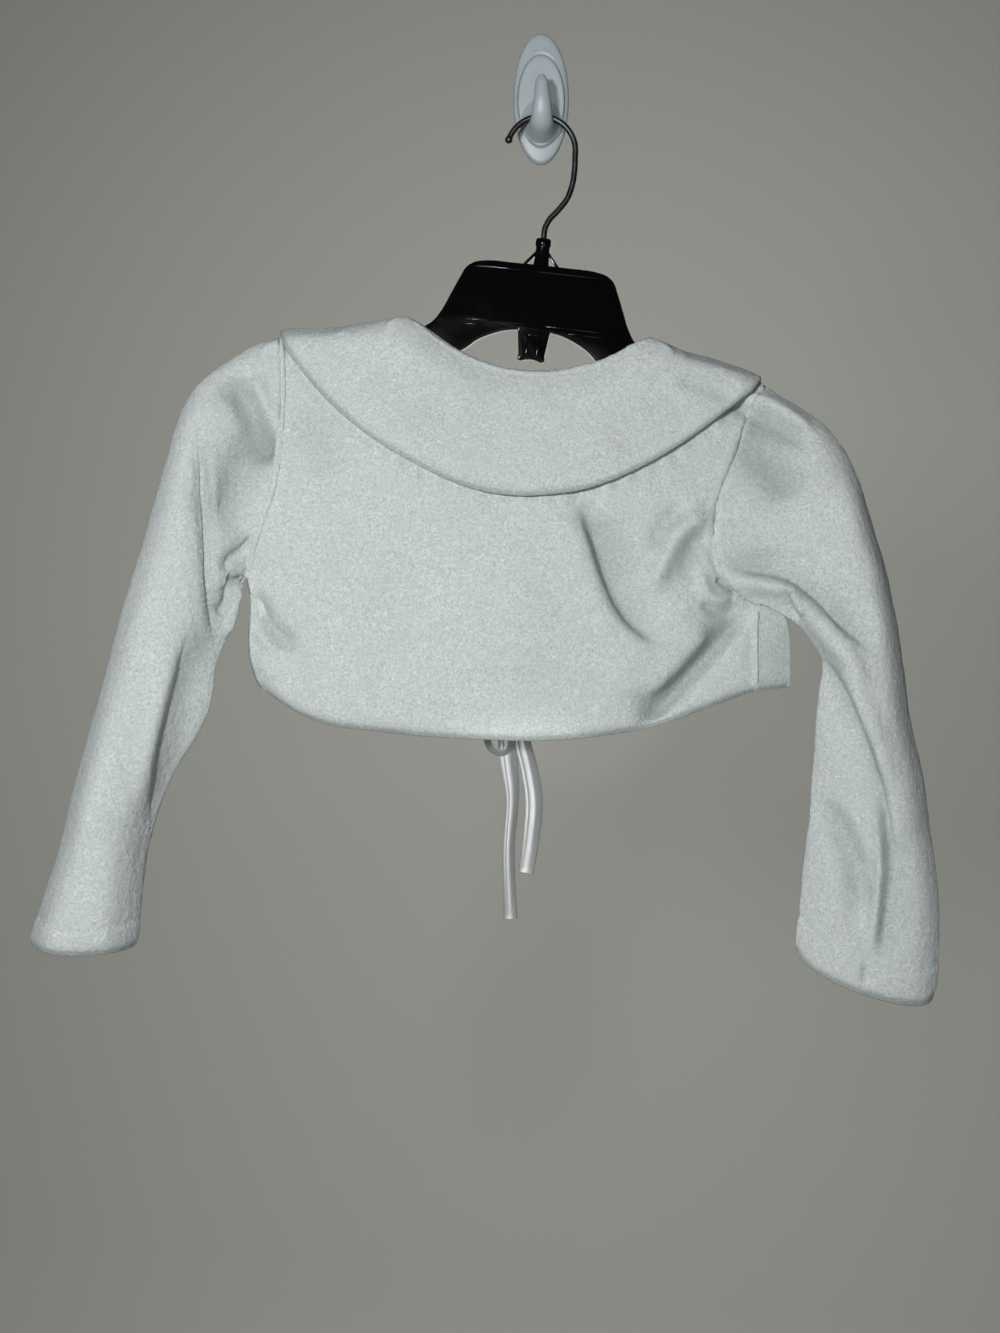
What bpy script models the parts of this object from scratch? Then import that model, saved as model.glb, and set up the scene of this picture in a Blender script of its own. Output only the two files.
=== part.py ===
"""A child's fleece bolero on a plastic hanger, hung on an oval wall hook.

The wall is the plane y = 0, the origin is the middle of the wall hook's flat back, +Z is up and
the garment's back faces -Y.  Tables are in millimetres; meshes are made in metres.
"""
import math

import bmesh
import bpy
import numpy as np
from mathutils import Matrix, Vector
from mathutils.bvhtree import BVHTree

MM = 0.001

# Cloth
FLEECE = 2.2            # wall of one layer of fleece
COLLAR_CLOTH = 2.6      # two pressed layers of the collar
SEAM_GAP = 0.3          # clearance between neighbouring pieces
ARMHOLE_STEPS = 13      # steps down each half of an armhole
SIDE_STEPS = 6          # steps down a side seam
SHOULDER_STEPS = 6      # steps along a shoulder seam
NECK_STEPS = 14         # steps along the back of the neck
FRONT_NECK_STEPS = 6    # steps along the neck edge of one front
SLEEVE_RINGS = 26       # rings from an armhole to its cuff
COLLAR_ROWS = (0.0, 0.07, 0.18, 0.34, 0.52, 0.7, 0.86, 1.0)    # from the neck to the outer edge

# Shoulder seams: armhole end and neck end, each x, y, z
SHOULDER_LEFT = ((-134.2, -14.0, -126.5), (-71.1, -14.0, -117.9))
SHOULDER_RIGHT = ((113.7, -14.0, -149.4), (56.2, -14.0, -129.1))

# Armholes, from the shoulder seam down to the underarm: x, y, z
ARMHOLE_LEFT_BACK = (
    SHOULDER_LEFT[0], (-133.8, -18.6, -128.2), (-132.3, -21.5, -140.0), (-132.0, -24.5, -159.0),
    (-133.0, -28.0, -184.0), (-136.5, -28.5, -206.0), (-143.5, -26.0, -224.0), (-149.7, -16.0, -247.3))
ARMHOLE_LEFT_FRONT = (
    SHOULDER_LEFT[0], (-133.8, -9.4, -128.2), (-131.5, -8.4, -140.0), (-130.0, -8.2, -165.0),
    (-131.0, -8.2, -195.0), (-138.0, -8.8, -226.0), (-149.7, -16.0, -247.3))
ARMHOLE_RIGHT_BACK = (
    SHOULDER_RIGHT[0], (112.2, -18.6, -151.5), (102.8, -23.0, -166.5), (95.7, -27.0, -188.0),
    (86.7, -31.0, -209.0), (84.3, -32.0, -220.0), (87.0, -31.5, -239.0), (95.5, -28.5, -254.0),
    (108.4, -22.0, -261.2))
ARMHOLE_RIGHT_FRONT = (
    SHOULDER_RIGHT[0], (113.5, -9.4, -151.6), (109.0, -8.4, -164.0), (105.5, -8.2, -190.0),
    (108.0, -8.2, -222.0), (113.8, -9.2, -244.0), (114.6, -14.0, -256.6), (108.4, -22.0, -261.2))
UNDERARM_LEFT_NORMAL = (0.0, 0.0, -1.0)
UNDERARM_RIGHT_NORMAL = (0.1, -0.65, -0.75)

# Side seams, from the underarm down to the hem: x, y, z
SIDE_LEFT = (ARMHOLE_LEFT_BACK[-1], (-147.2, -18.0, -259.0), (-148.4, -18.0, -274.0),
             (-148.0, -17.0, -288.0), (-144.7, -15.0, -299.6), (-141.3, -14.0, -305.7))
SIDE_RIGHT = (ARMHOLE_RIGHT_BACK[-1], (107.0, -26.0, -272.0), (106.7, -28.0, -288.0),
              (107.1, -28.0, -305.0))
SIDE_LEFT_NORMAL = (-0.95, -0.3, 0.0)
SIDE_RIGHT_NORMAL = (0.3, -0.95, 0.0)

# Back of the neck, left to right: x, y, z
NECK_BACK = (SHOULDER_LEFT[1], (-67.8, -19.0, -119.6), (-60.8, -19.9, -124.0), (-46.5, -20.4, -133.5),
             (-31.3, -20.8, -141.3), (-7.1, -21.2, -146.4), (17.7, -21.2, -144.4), (37.5, -20.4, -138.1),
             (47.5, -19.9, -133.3), (53.5, -19.0, -130.4), SHOULDER_RIGHT[1])
# Back hem, left to right: x, z
HEM_BACK = ((-141.3, -305.7), (-121.5, -317.9), (-108.0, -322.5), (-90.0, -324.8), (-61.7, -327.5),
            (-27.6, -329.4), (-1.5, -329.9), (32.6, -327.0), (55.6, -322.7), (82.5, -313.6),
            (107.1, -305.0))
# How far the middle of the back stands off the wall: z, y
BACK_BULGE = ((-330.0, -43.0), (-290.0, -43.0), (-250.0, -41.0), (-210.0, -37.0), (-185.0, -32.0),
              (-160.0, -26.0), (-146.0, -21.5))

# Fronts
FRONT_Y = -8.2          # outer face of the fronts
CENTRE_FRONT_X = -15.0  # where the two fronts meet
FRONT_COLUMNS = (0.0, 0.06, 0.12, 0.18, 0.26, 0.36, 0.48, 0.61, 0.74, 0.87, 1.0)
FRONT_TURN = 0.12       # share of a front's width at which its side turns to the back
NECK_FRONT_LEFT = (SHOULDER_LEFT[1], (-70.6, -9.4, -119.6), (-66.5, -8.4, -130.0), (-56.0, -8.2, -149.0),
                   (-40.0, -8.2, -168.0))
NECK_FRONT_RIGHT = (SHOULDER_RIGHT[1], (55.6, -9.4, -130.9), (52.0, -8.4, -141.0), (42.0, -8.2, -157.0),
                    (20.0, -8.2, -173.5))
# Front edges, from the neck down round the lower corner: distance from the centre front, z
FRONT_EDGE = ((0.0, -184.0), (0.0, -230.0), (0.0, -285.0), (4.0, -303.0), (14.0, -316.0), (31.0, -323.5))
# Front hems, from the side seam to the lower corner: x, z
HEM_FRONT_LEFT = ((-141.3, -305.7), (-122.0, -316.5), (-85.0, -322.5))
HEM_FRONT_RIGHT = ((107.1, -305.0), (95.0, -303.5), (75.0, -307.5), (45.0, -316.5))
# Edge of the right front where it turns to the back of the picture: z, x
RIGHT_TURN = ((-306.0, 126.5), (-300.0, 128.8), (-285.0, 127.8), (-272.0, 127.5), (-266.0, 125.0),
              (-259.0, 120.5))

# Sleeve sections, from the armhole to the cuff.  outer and inner are the two edges seen from the
# back; back and front are the depth of the tube on each side of the line between them; crease is
# where a fold lies across the back (0 outer edge, 1 inner edge); drop is the share of the depth
# that is lost beyond it; lean lowers the side nearer the viewer.
SLEEVE_COLUMNS = ("outer_x", "outer_y", "outer_z", "inner_x", "inner_y", "inner_z",
                  "back", "front", "crease", "drop", "lean")
SLEEVE_LEFT = (
    (-147.0, -14.0, -129.0, -150.3, -16.3, -249.5, 13.0, 7.4, 0.80, 0.00, 0.0),
    (-162.0, -14.5, -137.5, -151.0, -16.6, -252.0, 14.0, 8.8, 0.80, 0.00, 0.0),
    (-174.0, -15.5, -146.0, -151.7, -17.0, -255.0, 15.5, 9.2, 0.80, 0.00, 0.0),
    (-181.5, -16.5, -158.0, -152.3, -17.2, -258.0, 17.0, 9.0, 0.80, 0.00, 0.0),
    (-186.2, -17.5, -170.5, -153.0, -17.4, -261.0, 18.0, 10.0, 0.80, 0.05, 0.0),
    (-190.4, -19.0, -188.0, -153.8, -17.6, -265.0, 19.0, 11.5, 0.80, 0.10, 0.0),
    (-197.5, -20.5, -214.5, -156.0, -18.0, -273.0, 20.0, 13.5, 0.82, 0.15, 0.0),
    (-205.5, -22.0, -242.0, -160.5, -18.5, -283.0, 20.5, 15.0, 0.80, 0.30, 0.0),
    (-213.5, -23.0, -269.0, -165.0, -19.0, -294.0, 21.0, 16.0, 0.75, 0.50, 0.0),
    (-220.4, -24.0, -296.5, -166.0, -20.0, -310.0, 21.5, 17.0, 0.71, 0.62, 0.0),
    (-226.5, -25.0, -320.0, -174.0, -21.0, -328.0, 21.5, 18.0, 0.77, 0.60, 0.0),
    (-234.0, -26.0, -348.5, -186.0, -22.5, -349.0, 22.0, 19.0, 0.88, 0.40, 0.02),
    (-241.8, -27.0, -379.5, -196.5, -25.0, -380.0, 22.0, 20.0, 0.92, 0.15, 0.05),
    (-250.5, -28.0, -407.5, -200.0, -27.0, -409.0, 22.0, 21.0, 0.90, 0.00, 0.10),
    (-258.0, -28.0, -431.5, -202.0, -28.0, -432.5, 22.0, 21.0, 0.90, 0.00, 0.14))
SLEEVE_RIGHT = (
    (126.0, -14.5, -156.0, 112.0, -24.5, -263.0, 12.0, 9.6, 0.80, 0.00, 0.0),
    (137.0, -15.0, -163.0, 116.0, -26.5, -265.3, 12.5, 13.0, 0.80, 0.00, 0.0),
    (147.5, -16.0, -171.7, 120.5, -28.0, -268.0, 13.5, 14.8, 0.80, 0.00, 0.0),
    (154.5, -17.0, -182.0, 125.0, -28.5, -270.6, 14.5, 13.4, 0.80, 0.00, 0.0),
    (159.3, -18.5, -194.0, 129.3, -28.5, -273.4, 15.5, 13.0, 0.85, 0.00, 0.0),
    (163.2, -20.0, -209.5, 132.3, -28.0, -277.4, 17.0, 14.0, 0.90, 0.00, 0.0),
    (168.3, -21.0, -225.0, 135.3, -27.5, -282.0, 18.0, 15.0, 0.92, 0.05, 0.0),
    (173.5, -22.5, -243.5, 138.2, -26.5, -286.4, 19.0, 16.0, 0.93, 0.15, 0.0),
    (177.4, -23.5, -261.0, 139.5, -25.5, -291.5, 20.0, 17.0, 0.92, 0.30, 0.0),
    (181.9, -25.0, -289.5, 139.0, -24.0, -303.5, 20.5, 18.0, 0.80, 0.45, 0.0),
    (185.6, -26.0, -320.5, 137.5, -23.0, -322.0, 20.5, 18.5, 0.63, 0.48, 0.0),
    (191.4, -27.0, -347.5, 135.8, -22.5, -347.0, 20.0, 17.5, 0.50, 0.42, 0.0),
    (195.6, -27.0, -376.0, 133.6, -22.5, -374.0, 18.0, 15.5, 0.44, 0.32, 0.0),
    (199.2, -27.0, -402.0, 130.5, -23.0, -400.0, 15.0, 13.0, 0.40, 0.20, 0.02),
    (200.0, -27.0, -428.0, 128.0, -24.0, -421.0, 12.5, 11.0, 0.40, 0.08, 0.40),
    (197.5, -27.0, -457.0, 127.0, -24.0, -437.0, 12.5, 10.5, 0.40, 0.00, 0.85))
CREASE_WIDTH = 0.16     # share of the sleeve's width over which a crease drops

# Large soft folds: three points x, z along the fold, its half width and its depth; a minus depth
# is a ridge towards the viewer.
BACK_FOLDS = (
    ((20.0, -206.0), (31.0, -246.0), (56.0, -278.0), 9.0, 4.5),
    ((8.0, -206.0), (18.0, -246.0), (40.0, -284.0), 10.0, -2.5),
    ((106.0, -263.0), (81.0, -291.0), (46.0, -318.0), 9.0, 6.5),
    ((84.0, -262.0), (64.0, -286.0), (36.0, -308.0), 13.0, -3.5),
    ((-144.0, -262.0), (-130.0, -283.0), (-117.0, -298.0), 8.0, 5.0),
    ((84.0, -212.0), (66.0, -231.0), (56.0, -251.0), 10.0, -3.0))
SLEEVE_LEFT_FOLDS = (
    ((-158.0, -148.0), (-145.0, -172.0), (-140.0, -202.0), 8.0, 4.5),
    ((-172.0, -176.0), (-169.0, -230.0), (-164.0, -284.0), 6.0, 4.0),
    ((-163.0, -180.0), (-161.5, -205.0), (-160.0, -230.0), 7.0, -2.5))
SLEEVE_RIGHT_FOLDS = (
    ((88.0, -239.0), (132.0, -240.0), (164.0, -282.0), 8.0, 5.0),
    ((90.0, -247.0), (118.0, -252.0), (150.0, -281.0), 8.0, -4.5),
    ((101.0, -162.0), (115.0, -168.0), (130.0, -175.0), 7.0, 3.0),
    ((140.0, -355.0), (148.0, -390.0), (158.0, -424.0), 9.0, 3.0))
FOLD_TAPER = 0.22       # share of a fold's length over which each end dies away

# Collar outer edge on the back, left shoulder to right shoulder: x, z
COLLAR_EDGE_BACK = ((-129.3, -131.6), (-124.4, -139.9), (-114.0, -153.5), (-90.6, -175.6),
                    (-62.0, -193.9), (-27.7, -207.3), (-7.8, -209.3), (17.0, -206.5), (53.5, -191.9),
                    (89.9, -167.3), (100.3, -159.4), (106.4, -154.2))
# Collar outer edge on a front, shoulder to centre front: share of the way across, share of its drop
COLLAR_EDGE_FRONT = ((0.0, 0.075), (0.10, 0.29), (0.27, 0.55), (0.52, 0.82), (0.80, 1.0),
                     (0.955, 0.99), (0.985, 0.84))
COLLAR_FRONT_Z = -231.0        # lowest point of the collar on the fronts
COLLAR_BACK_STATIONS = 24
COLLAR_FRONT_STATIONS = 9
COLLAR_LIFT = 0.85             # clearance between the collar and the panels under it
COLLAR_ROLL = 1.0              # how far the collar turns in over the neck edge
COLLAR_CURL = {"left": 2.2, "right": 0.4}    # how far its outer end lifts off each shoulder
COLLAR_SHOULDER_REACH = 0.97   # share of the shoulder seam that the collar covers

# Ties: a satin strip, folded flat
TIE_WIDTH = 7.0
TIE_CLOTH = 1.6
TIE_LOOP_WIDTH = 4.4
KNOT_SIZE = (9.0, 6.0, 8.0)
KNOT_CENTRE = (-15.0, -4.6, -297.0)
TIE_END_Y = -2.2
TIE_PINCH = 0.45        # share of a tie's width where the knot grips it
TIE_SPREAD = 20.0       # length over which it opens out to its full width
TIE_LOOP_Y = -5.4
# Routes, from the knot down: x, z
TIE_END_LEFT = ((-17.3, -301.5), (-18.4, -316.0), (-17.6, -331.0), (-16.8, -341.0), (-15.0, -358.5),
                (-16.7, -385.0), (-15.8, -422.5))
TIE_END_RIGHT = ((-12.7, -301.5), (-10.9, -316.0), (-9.6, -331.5), (-6.6, -344.0), (-3.8, -363.0),
                 (-5.0, -379.0), (-7.8, -398.8))
TIE_LOOP_LEFT = ((-18.6, -301.6), (-23.5, -311.0), (-27.6, -325.0), (-24.5, -335.0), (-19.0, -336.8),
                 (-15.2, -329.0), (-15.6, -314.0), (-15.8, -301.7))
TIE_LOOP_RIGHT = ((-14.2, -301.7), (-12.5, -309.0), (-8.5, -317.0), (-3.0, -322.0), (1.5, -319.5),
                  (0.5, -312.0), (-5.0, -304.5), (-10.1, -299.6))

# Hanger, in its own frame: x from the middle, z below the top of its plate
HANGER_PLACE = (-0.3, -14.0, -88.4)
HANGER_ROLL = 6.2       # degrees, right side down
HANGER_DEPTH = 5.0
HANGER_RIM = 2.2        # rim round each recess
HANGER_RECESS = 1.6
HANGER_OUTLINE = (
    (28.0, 1.0), (33.5, 2.2), (37.6, 5.2), (40.4, 11.0), (44.0, 19.5), (47.8, 28.5), (51.8, 34.6),
    (57.0, 38.4), (64.0, 40.6), (95.0, 48.0), (125.0, 55.6), (141.0, 61.8), (149.5, 67.2),
    (155.0, 73.2), (155.3, 77.6), (151.5, 78.8), (138.0, 72.0), (121.0, 65.8), (95.0, 59.0),
    (64.0, 52.0), (45.0, 51.2), (38.5, 49.4), (33.4, 46.0), (28.0, 41.2), (20.9, 37.4),
    (13.7, 34.8), (8.3, 33.9), (6.8, 47.6), (5.4, 49.2))
SOCKET_RADIUS = 3.8
SOCKET_HEIGHT = 13.0
BORE_RADIUS = 1.8
BORE_DEPTH = 10.0
LOWER_RIB = (49.0, 4.2, 1.6, 31.6)      # half length, depth, height, z below the plate's top
GUSSET = ((2.6, 7.6), (2.6, 5.4), (7.4, -0.8), (9.6, -0.8))
GUSSET_DEPTH = 2.4

# Hanger hook: a steel wire
WIRE_RADIUS = 1.5
WIRE_BALL = 2.0
CROOK_CENTRE = (-0.2, -30.2)
CROOK_RADIUS = 17.4
CROOK_ANGLES = (-4.0, 168.0)
CROOK_STEPS = 22
SHANK = ((17.1, -31.4), (16.9, -38.5), (15.8, -46.7), (12.9, -54.8), (8.2, -60.8), (3.8, -65.6),
         (1.6, -70.2), (1.1, -75.0), (0.15, -84.0))
SHANK_STEPS = 18

# Wall hook: oval steps (half width, half height, y, z of centre) and the prong
HOOK_STEPS = ((14.4, 33.8, 0.0, 0.0), (14.4, 33.8, -1.6, 0.0), (13.6, 32.4, -2.9, -0.3),
              (12.0, 23.6, -4.6, -1.7), (11.4, 22.6, -5.3, -1.8))
HOOK_SIDES = 40
PRONG_SIDES = 16
# Prong sections: y, z, half width, half thickness
PRONG = ((-3.6, -20.6, 8.6, 5.2), (-9.0, -20.2, 7.0, 4.7), (-14.0, -19.1, 6.0, 4.2),
         (-18.3, -16.1, 5.4, 3.5), (-20.7, -11.0, 4.8, 3.1), (-21.0, -5.0, 4.2, 2.8),
         (-20.5, 0.5, 3.5, 2.5), (-20.1, 3.9, 2.9, 2.1), (-19.9, 5.5, 1.9, 1.4))
PRONG_RINGS = 16

# Finishes: colour, roughness, metallic
FINISHES = {
    "fleece": ((0.78, 0.80, 0.81), 0.95, 0.0),
    "satin": ((0.74, 0.75, 0.76), 0.35, 0.0),
    "black_plastic": ((0.012, 0.012, 0.013), 0.22, 0.0),
    "steel_wire": ((0.16, 0.16, 0.16), 0.35, 1.0),
    "white_plastic": ((0.72, 0.76, 0.78), 0.3, 0.0),
}


def finish(name):
    """The material of that name, made on first use."""
    material = bpy.data.materials.get(name)
    if material:
        return material
    colour, roughness, metallic = FINISHES[name]
    material = bpy.data.materials.new(name)
    material.use_nodes = True
    shader = material.node_tree.nodes["Principled BSDF"]
    shader.inputs["Base Color"].default_value = (*colour, 1.0)
    shader.inputs["Roughness"].default_value = roughness
    shader.inputs["Metallic"].default_value = metallic
    return material


def add_object(name, data, finish_name):
    """A named object for one sub-part, with its own material."""
    part = bpy.data.objects.new(name, data)
    bpy.context.collection.objects.link(part)
    data.materials.append(finish(finish_name))
    return part


def unit(vectors):
    """The vectors, each made one long."""
    vectors = np.asarray(vectors, float)
    return vectors / np.linalg.norm(vectors, axis=-1, keepdims=True)


def smooth_line(knots, fractions):
    """Points at the given fractions of the length of a smooth line through the knots."""
    knots = np.asarray(knots, float)
    at = np.concatenate(([0.0], np.cumsum(np.linalg.norm(np.diff(knots, axis=0), axis=1))))
    slopes = np.gradient(knots, at, axis=0)
    wanted = np.asarray(fractions) * at[-1]
    left = np.clip(np.searchsorted(at, wanted, side="right") - 1, 0, len(knots) - 2)
    span = (at[left + 1] - at[left])[:, None]
    u = ((wanted - at[left])[:, None]) / span
    return ((2 * u**3 - 3 * u**2 + 1) * knots[left] + (u**3 - 2 * u**2 + u) * span * slopes[left]
            + (-2 * u**3 + 3 * u**2) * knots[left + 1] + (u**3 - u**2) * span * slopes[left + 1])


def even(steps):
    """Fractions from 0 to 1 in equal steps."""
    return np.arange(steps + 1) / steps


def eased(steps):
    """Fractions from 0 to 1, closer together at both ends."""
    k = even(steps)
    return 0.75 * (1 - np.cos(math.pi * k)) / 2 + 0.25 * k


def fold_depth(x, z, folds):
    """How far the folds push the cloth at x, z away from the viewer."""
    total = np.zeros_like(x)
    for start, middle, end, half_width, depth in folds:
        line = smooth_line((start, middle, end), even(24))
        offsets = np.stack([x[..., None] - line[:, 0], z[..., None] - line[:, 1]])
        squared = (offsets**2).sum(axis=0)
        nearest = squared.argmin(axis=-1)
        along = nearest / (len(line) - 1)
        taper = np.clip(np.minimum(along, 1 - along) / FOLD_TAPER + 0.25, 0, 1)
        total += depth * taper * np.exp(-squared.min(axis=-1) / half_width**2)
    return total


def grid_normals(points, closed, facing):
    """Unit normals of a grid of points; facing gives the outward side at each point."""
    if closed:
        across = np.roll(points, -1, axis=1) - np.roll(points, 1, axis=1)
    else:
        across = np.gradient(points, axis=1)
    normals = unit(np.cross(across, np.gradient(points, axis=0)))
    if (normals * facing).sum() < 0:
        normals = -normals
    return normals


def cloth_wall(name, outer, inner, closed, finish_name):
    """A closed wall between an outer and an inner grid of points."""
    rows, columns = outer.shape[:2]
    mesh = bmesh.new()
    faces = []
    skins = []
    for skin in (outer, inner):
        skins.append([[mesh.verts.new(Vector(point) * MM) for point in row] for row in skin])
    last = columns if closed else columns - 1
    for row in range(rows - 1):
        for column in range(last):
            after = (column + 1) % columns
            for skin in skins:
                faces.append((skin[row][column], skin[row][after], skin[row + 1][after],
                              skin[row + 1][column]))
    for row in (0, rows - 1):
        for column in range(last):
            after = (column + 1) % columns
            faces.append((skins[0][row][column], skins[0][row][after], skins[1][row][after],
                          skins[1][row][column]))
    if not closed:
        for column in (0, columns - 1):
            for row in range(rows - 1):
                faces.append((skins[0][row][column], skins[0][row + 1][column],
                              skins[1][row + 1][column], skins[1][row][column]))
    for corners in faces:
        mesh.faces.new(corners)
    return mesh_object(name, mesh, finish_name)


def mesh_object(name, mesh, finish_name):
    """An object from a bmesh, with its faces pointing out and shaded smooth."""
    bmesh.ops.recalc_face_normals(mesh, faces=mesh.faces)
    data = bpy.data.meshes.new(name)
    mesh.to_mesh(data)
    mesh.free()
    part = add_object(name, data, finish_name)
    data.shade_smooth()
    data.set_sharp_from_angle(angle=math.radians(40))
    return part


def loft(name, loops, finish_name):
    """A closed body through loops of points, with flat ends."""
    mesh = bmesh.new()
    rings = [[mesh.verts.new(Vector(point) * MM) for point in loop] for loop in loops]
    for ring, following in zip(rings, rings[1:]):
        for index in range(len(ring)):
            after = (index + 1) % len(ring)
            mesh.faces.new((ring[index], ring[after], following[after], following[index]))
    mesh.faces.new(rings[0])
    mesh.faces.new(rings[-1])
    return mesh_object(name, mesh, finish_name)


def pull_in(points, step_rows, step_columns, half=SEAM_GAP / 2):
    """Draw the edges of a grid in by half a seam gap; each flag names a first or last edge."""
    moved = points.copy()
    for flag, edge, nearby in ((step_rows[0], 0, 1), (step_rows[1], -1, -2)):
        if flag:
            moved[edge] += half * unit(points[nearby] - points[edge])
    for flag, edge, nearby in ((step_columns[0], 0, 1), (step_columns[1], -1, -2)):
        if flag:
            moved[:, edge] += half * unit(points[:, nearby] - points[:, edge])
    return moved


class Armhole:
    """One armhole seam: matching points and normals for the panels and the sleeve."""

    def __init__(self, back, front, underarm_normal):
        fractions = eased(ARMHOLE_STEPS)
        self.back = smooth_line(back, fractions)
        self.front = smooth_line(front, fractions)
        outwards = math.copysign(0.25, back[0][0])
        angle = math.pi * even(ARMHOLE_STEPS)
        top = np.clip(np.cos(angle), 0, 1)[:, None] * np.array((outwards, 0.0, 0.97))
        low = np.clip(-np.cos(angle), 0, 1)[:, None] * np.array(underarm_normal)
        side = np.sin(angle)[:, None] * np.array((0.0, 1.0, 0.0))
        self.back_normals = unit(top + low - side)
        self.front_normals = unit(top + low + side)


ARMHOLES = {
    "left": Armhole(ARMHOLE_LEFT_BACK, ARMHOLE_LEFT_FRONT, UNDERARM_LEFT_NORMAL),
    "right": Armhole(ARMHOLE_RIGHT_BACK, ARMHOLE_RIGHT_FRONT, UNDERARM_RIGHT_NORMAL),
}
SIDES = {"left": (SIDE_LEFT, SIDE_LEFT_NORMAL), "right": (SIDE_RIGHT, SIDE_RIGHT_NORMAL)}


def panel_side(side, half):
    """A panel's edge from the shoulder down the armhole and the side seam, with its normals."""
    armhole = ARMHOLES[side]
    knots, normal = SIDES[side]
    seam = smooth_line(knots, even(SIDE_STEPS))[1:]
    points = np.vstack((getattr(armhole, half), seam))
    normals = np.vstack((getattr(armhole, half + "_normals"), np.tile(unit(normal), (SIDE_STEPS, 1))))
    return points, normals


def shoulder_normal(seam):
    """Square to a shoulder seam, upwards."""
    along = unit(np.subtract(seam[1], seam[0]))
    normal = np.array((-along[2], 0.0, along[0]))
    return normal if normal[2] > 0 else -normal


def coons(top, bottom, left, right, down):
    """A grid of points stretched between four edge lines."""
    s = even(len(top) - 1)[None, :, None]
    t = down[:, None, None]
    ruled_down = (1 - t) * top[None] + t * bottom[None]
    ruled_across = (1 - s) * left[:, None] + s * right[:, None]
    corners = ((1 - t) * ((1 - s) * top[0] + s * top[-1]) + t * ((1 - s) * bottom[0] + s * bottom[-1]))
    return ruled_down + ruled_across - corners


def row_drop(points):
    """How far down each row lies, as a fraction of the line's length."""
    lengths = np.linalg.norm(np.diff(points, axis=0), axis=1)
    return np.concatenate(([0.0], np.cumsum(lengths))) / lengths.sum()


def build_back():
    """The back panel: outer points, inner points and the object."""
    left, left_normals = panel_side("left", "back")
    right, right_normals = panel_side("right", "back")
    top = np.vstack((smooth_line(SHOULDER_LEFT, even(SHOULDER_STEPS)),
                     smooth_line(NECK_BACK, eased(NECK_STEPS))[1:],
                     smooth_line(SHOULDER_RIGHT[::-1], even(SHOULDER_STEPS))[1:]))
    hem = smooth_line(HEM_BACK, even(len(top) - 1))
    bottom = np.stack((hem[:, 0], np.zeros(len(hem)), hem[:, 1]), axis=1)
    down = (row_drop(left) + row_drop(right)) / 2
    grid = coons(top, bottom, left, right, down)

    # Depth: from the seams out to the bulge of the back, rounder at the sides than at the armholes
    s = even(len(top) - 1)
    heights, depths = np.array(BACK_BULGE).T
    for row in range(1, len(left)):
        seam_y = left[row, 1] + (right[row, 1] - left[row, 1]) * s
        middle = len(s) // 2
        bulge = seam_y[middle] - np.interp(grid[row, middle, 2], heights, depths)
        reach = min(row / ARMHOLE_STEPS, 1.0)
        power = (1.2 - 0.7 * reach**3) * (1 - s) + (1.2 - 0.3 * reach**3) * s
        grid[row, :, 1] = seam_y - bulge * np.sin(math.pi * s)**power
    folds = fold_depth(grid[..., 0], grid[..., 2], BACK_FOLDS)
    grid[..., 1] += folds * np.minimum(1, 4 * np.sin(math.pi * s))[None, :]

    normals = grid_normals(grid, False, np.array((0.0, -1.0, 0.0)))
    normals[:, 0] = left_normals
    normals[:, -1] = right_normals
    normals[0, 1:SHOULDER_STEPS + 1] = shoulder_normal(SHOULDER_LEFT)
    normals[0, -SHOULDER_STEPS - 1:-1] = shoulder_normal(SHOULDER_RIGHT)
    outer = pull_in(grid, (True, False), (True, True))
    cloth_wall("back", outer, outer - FLEECE * normals, False, "fleece")
    return outer


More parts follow.
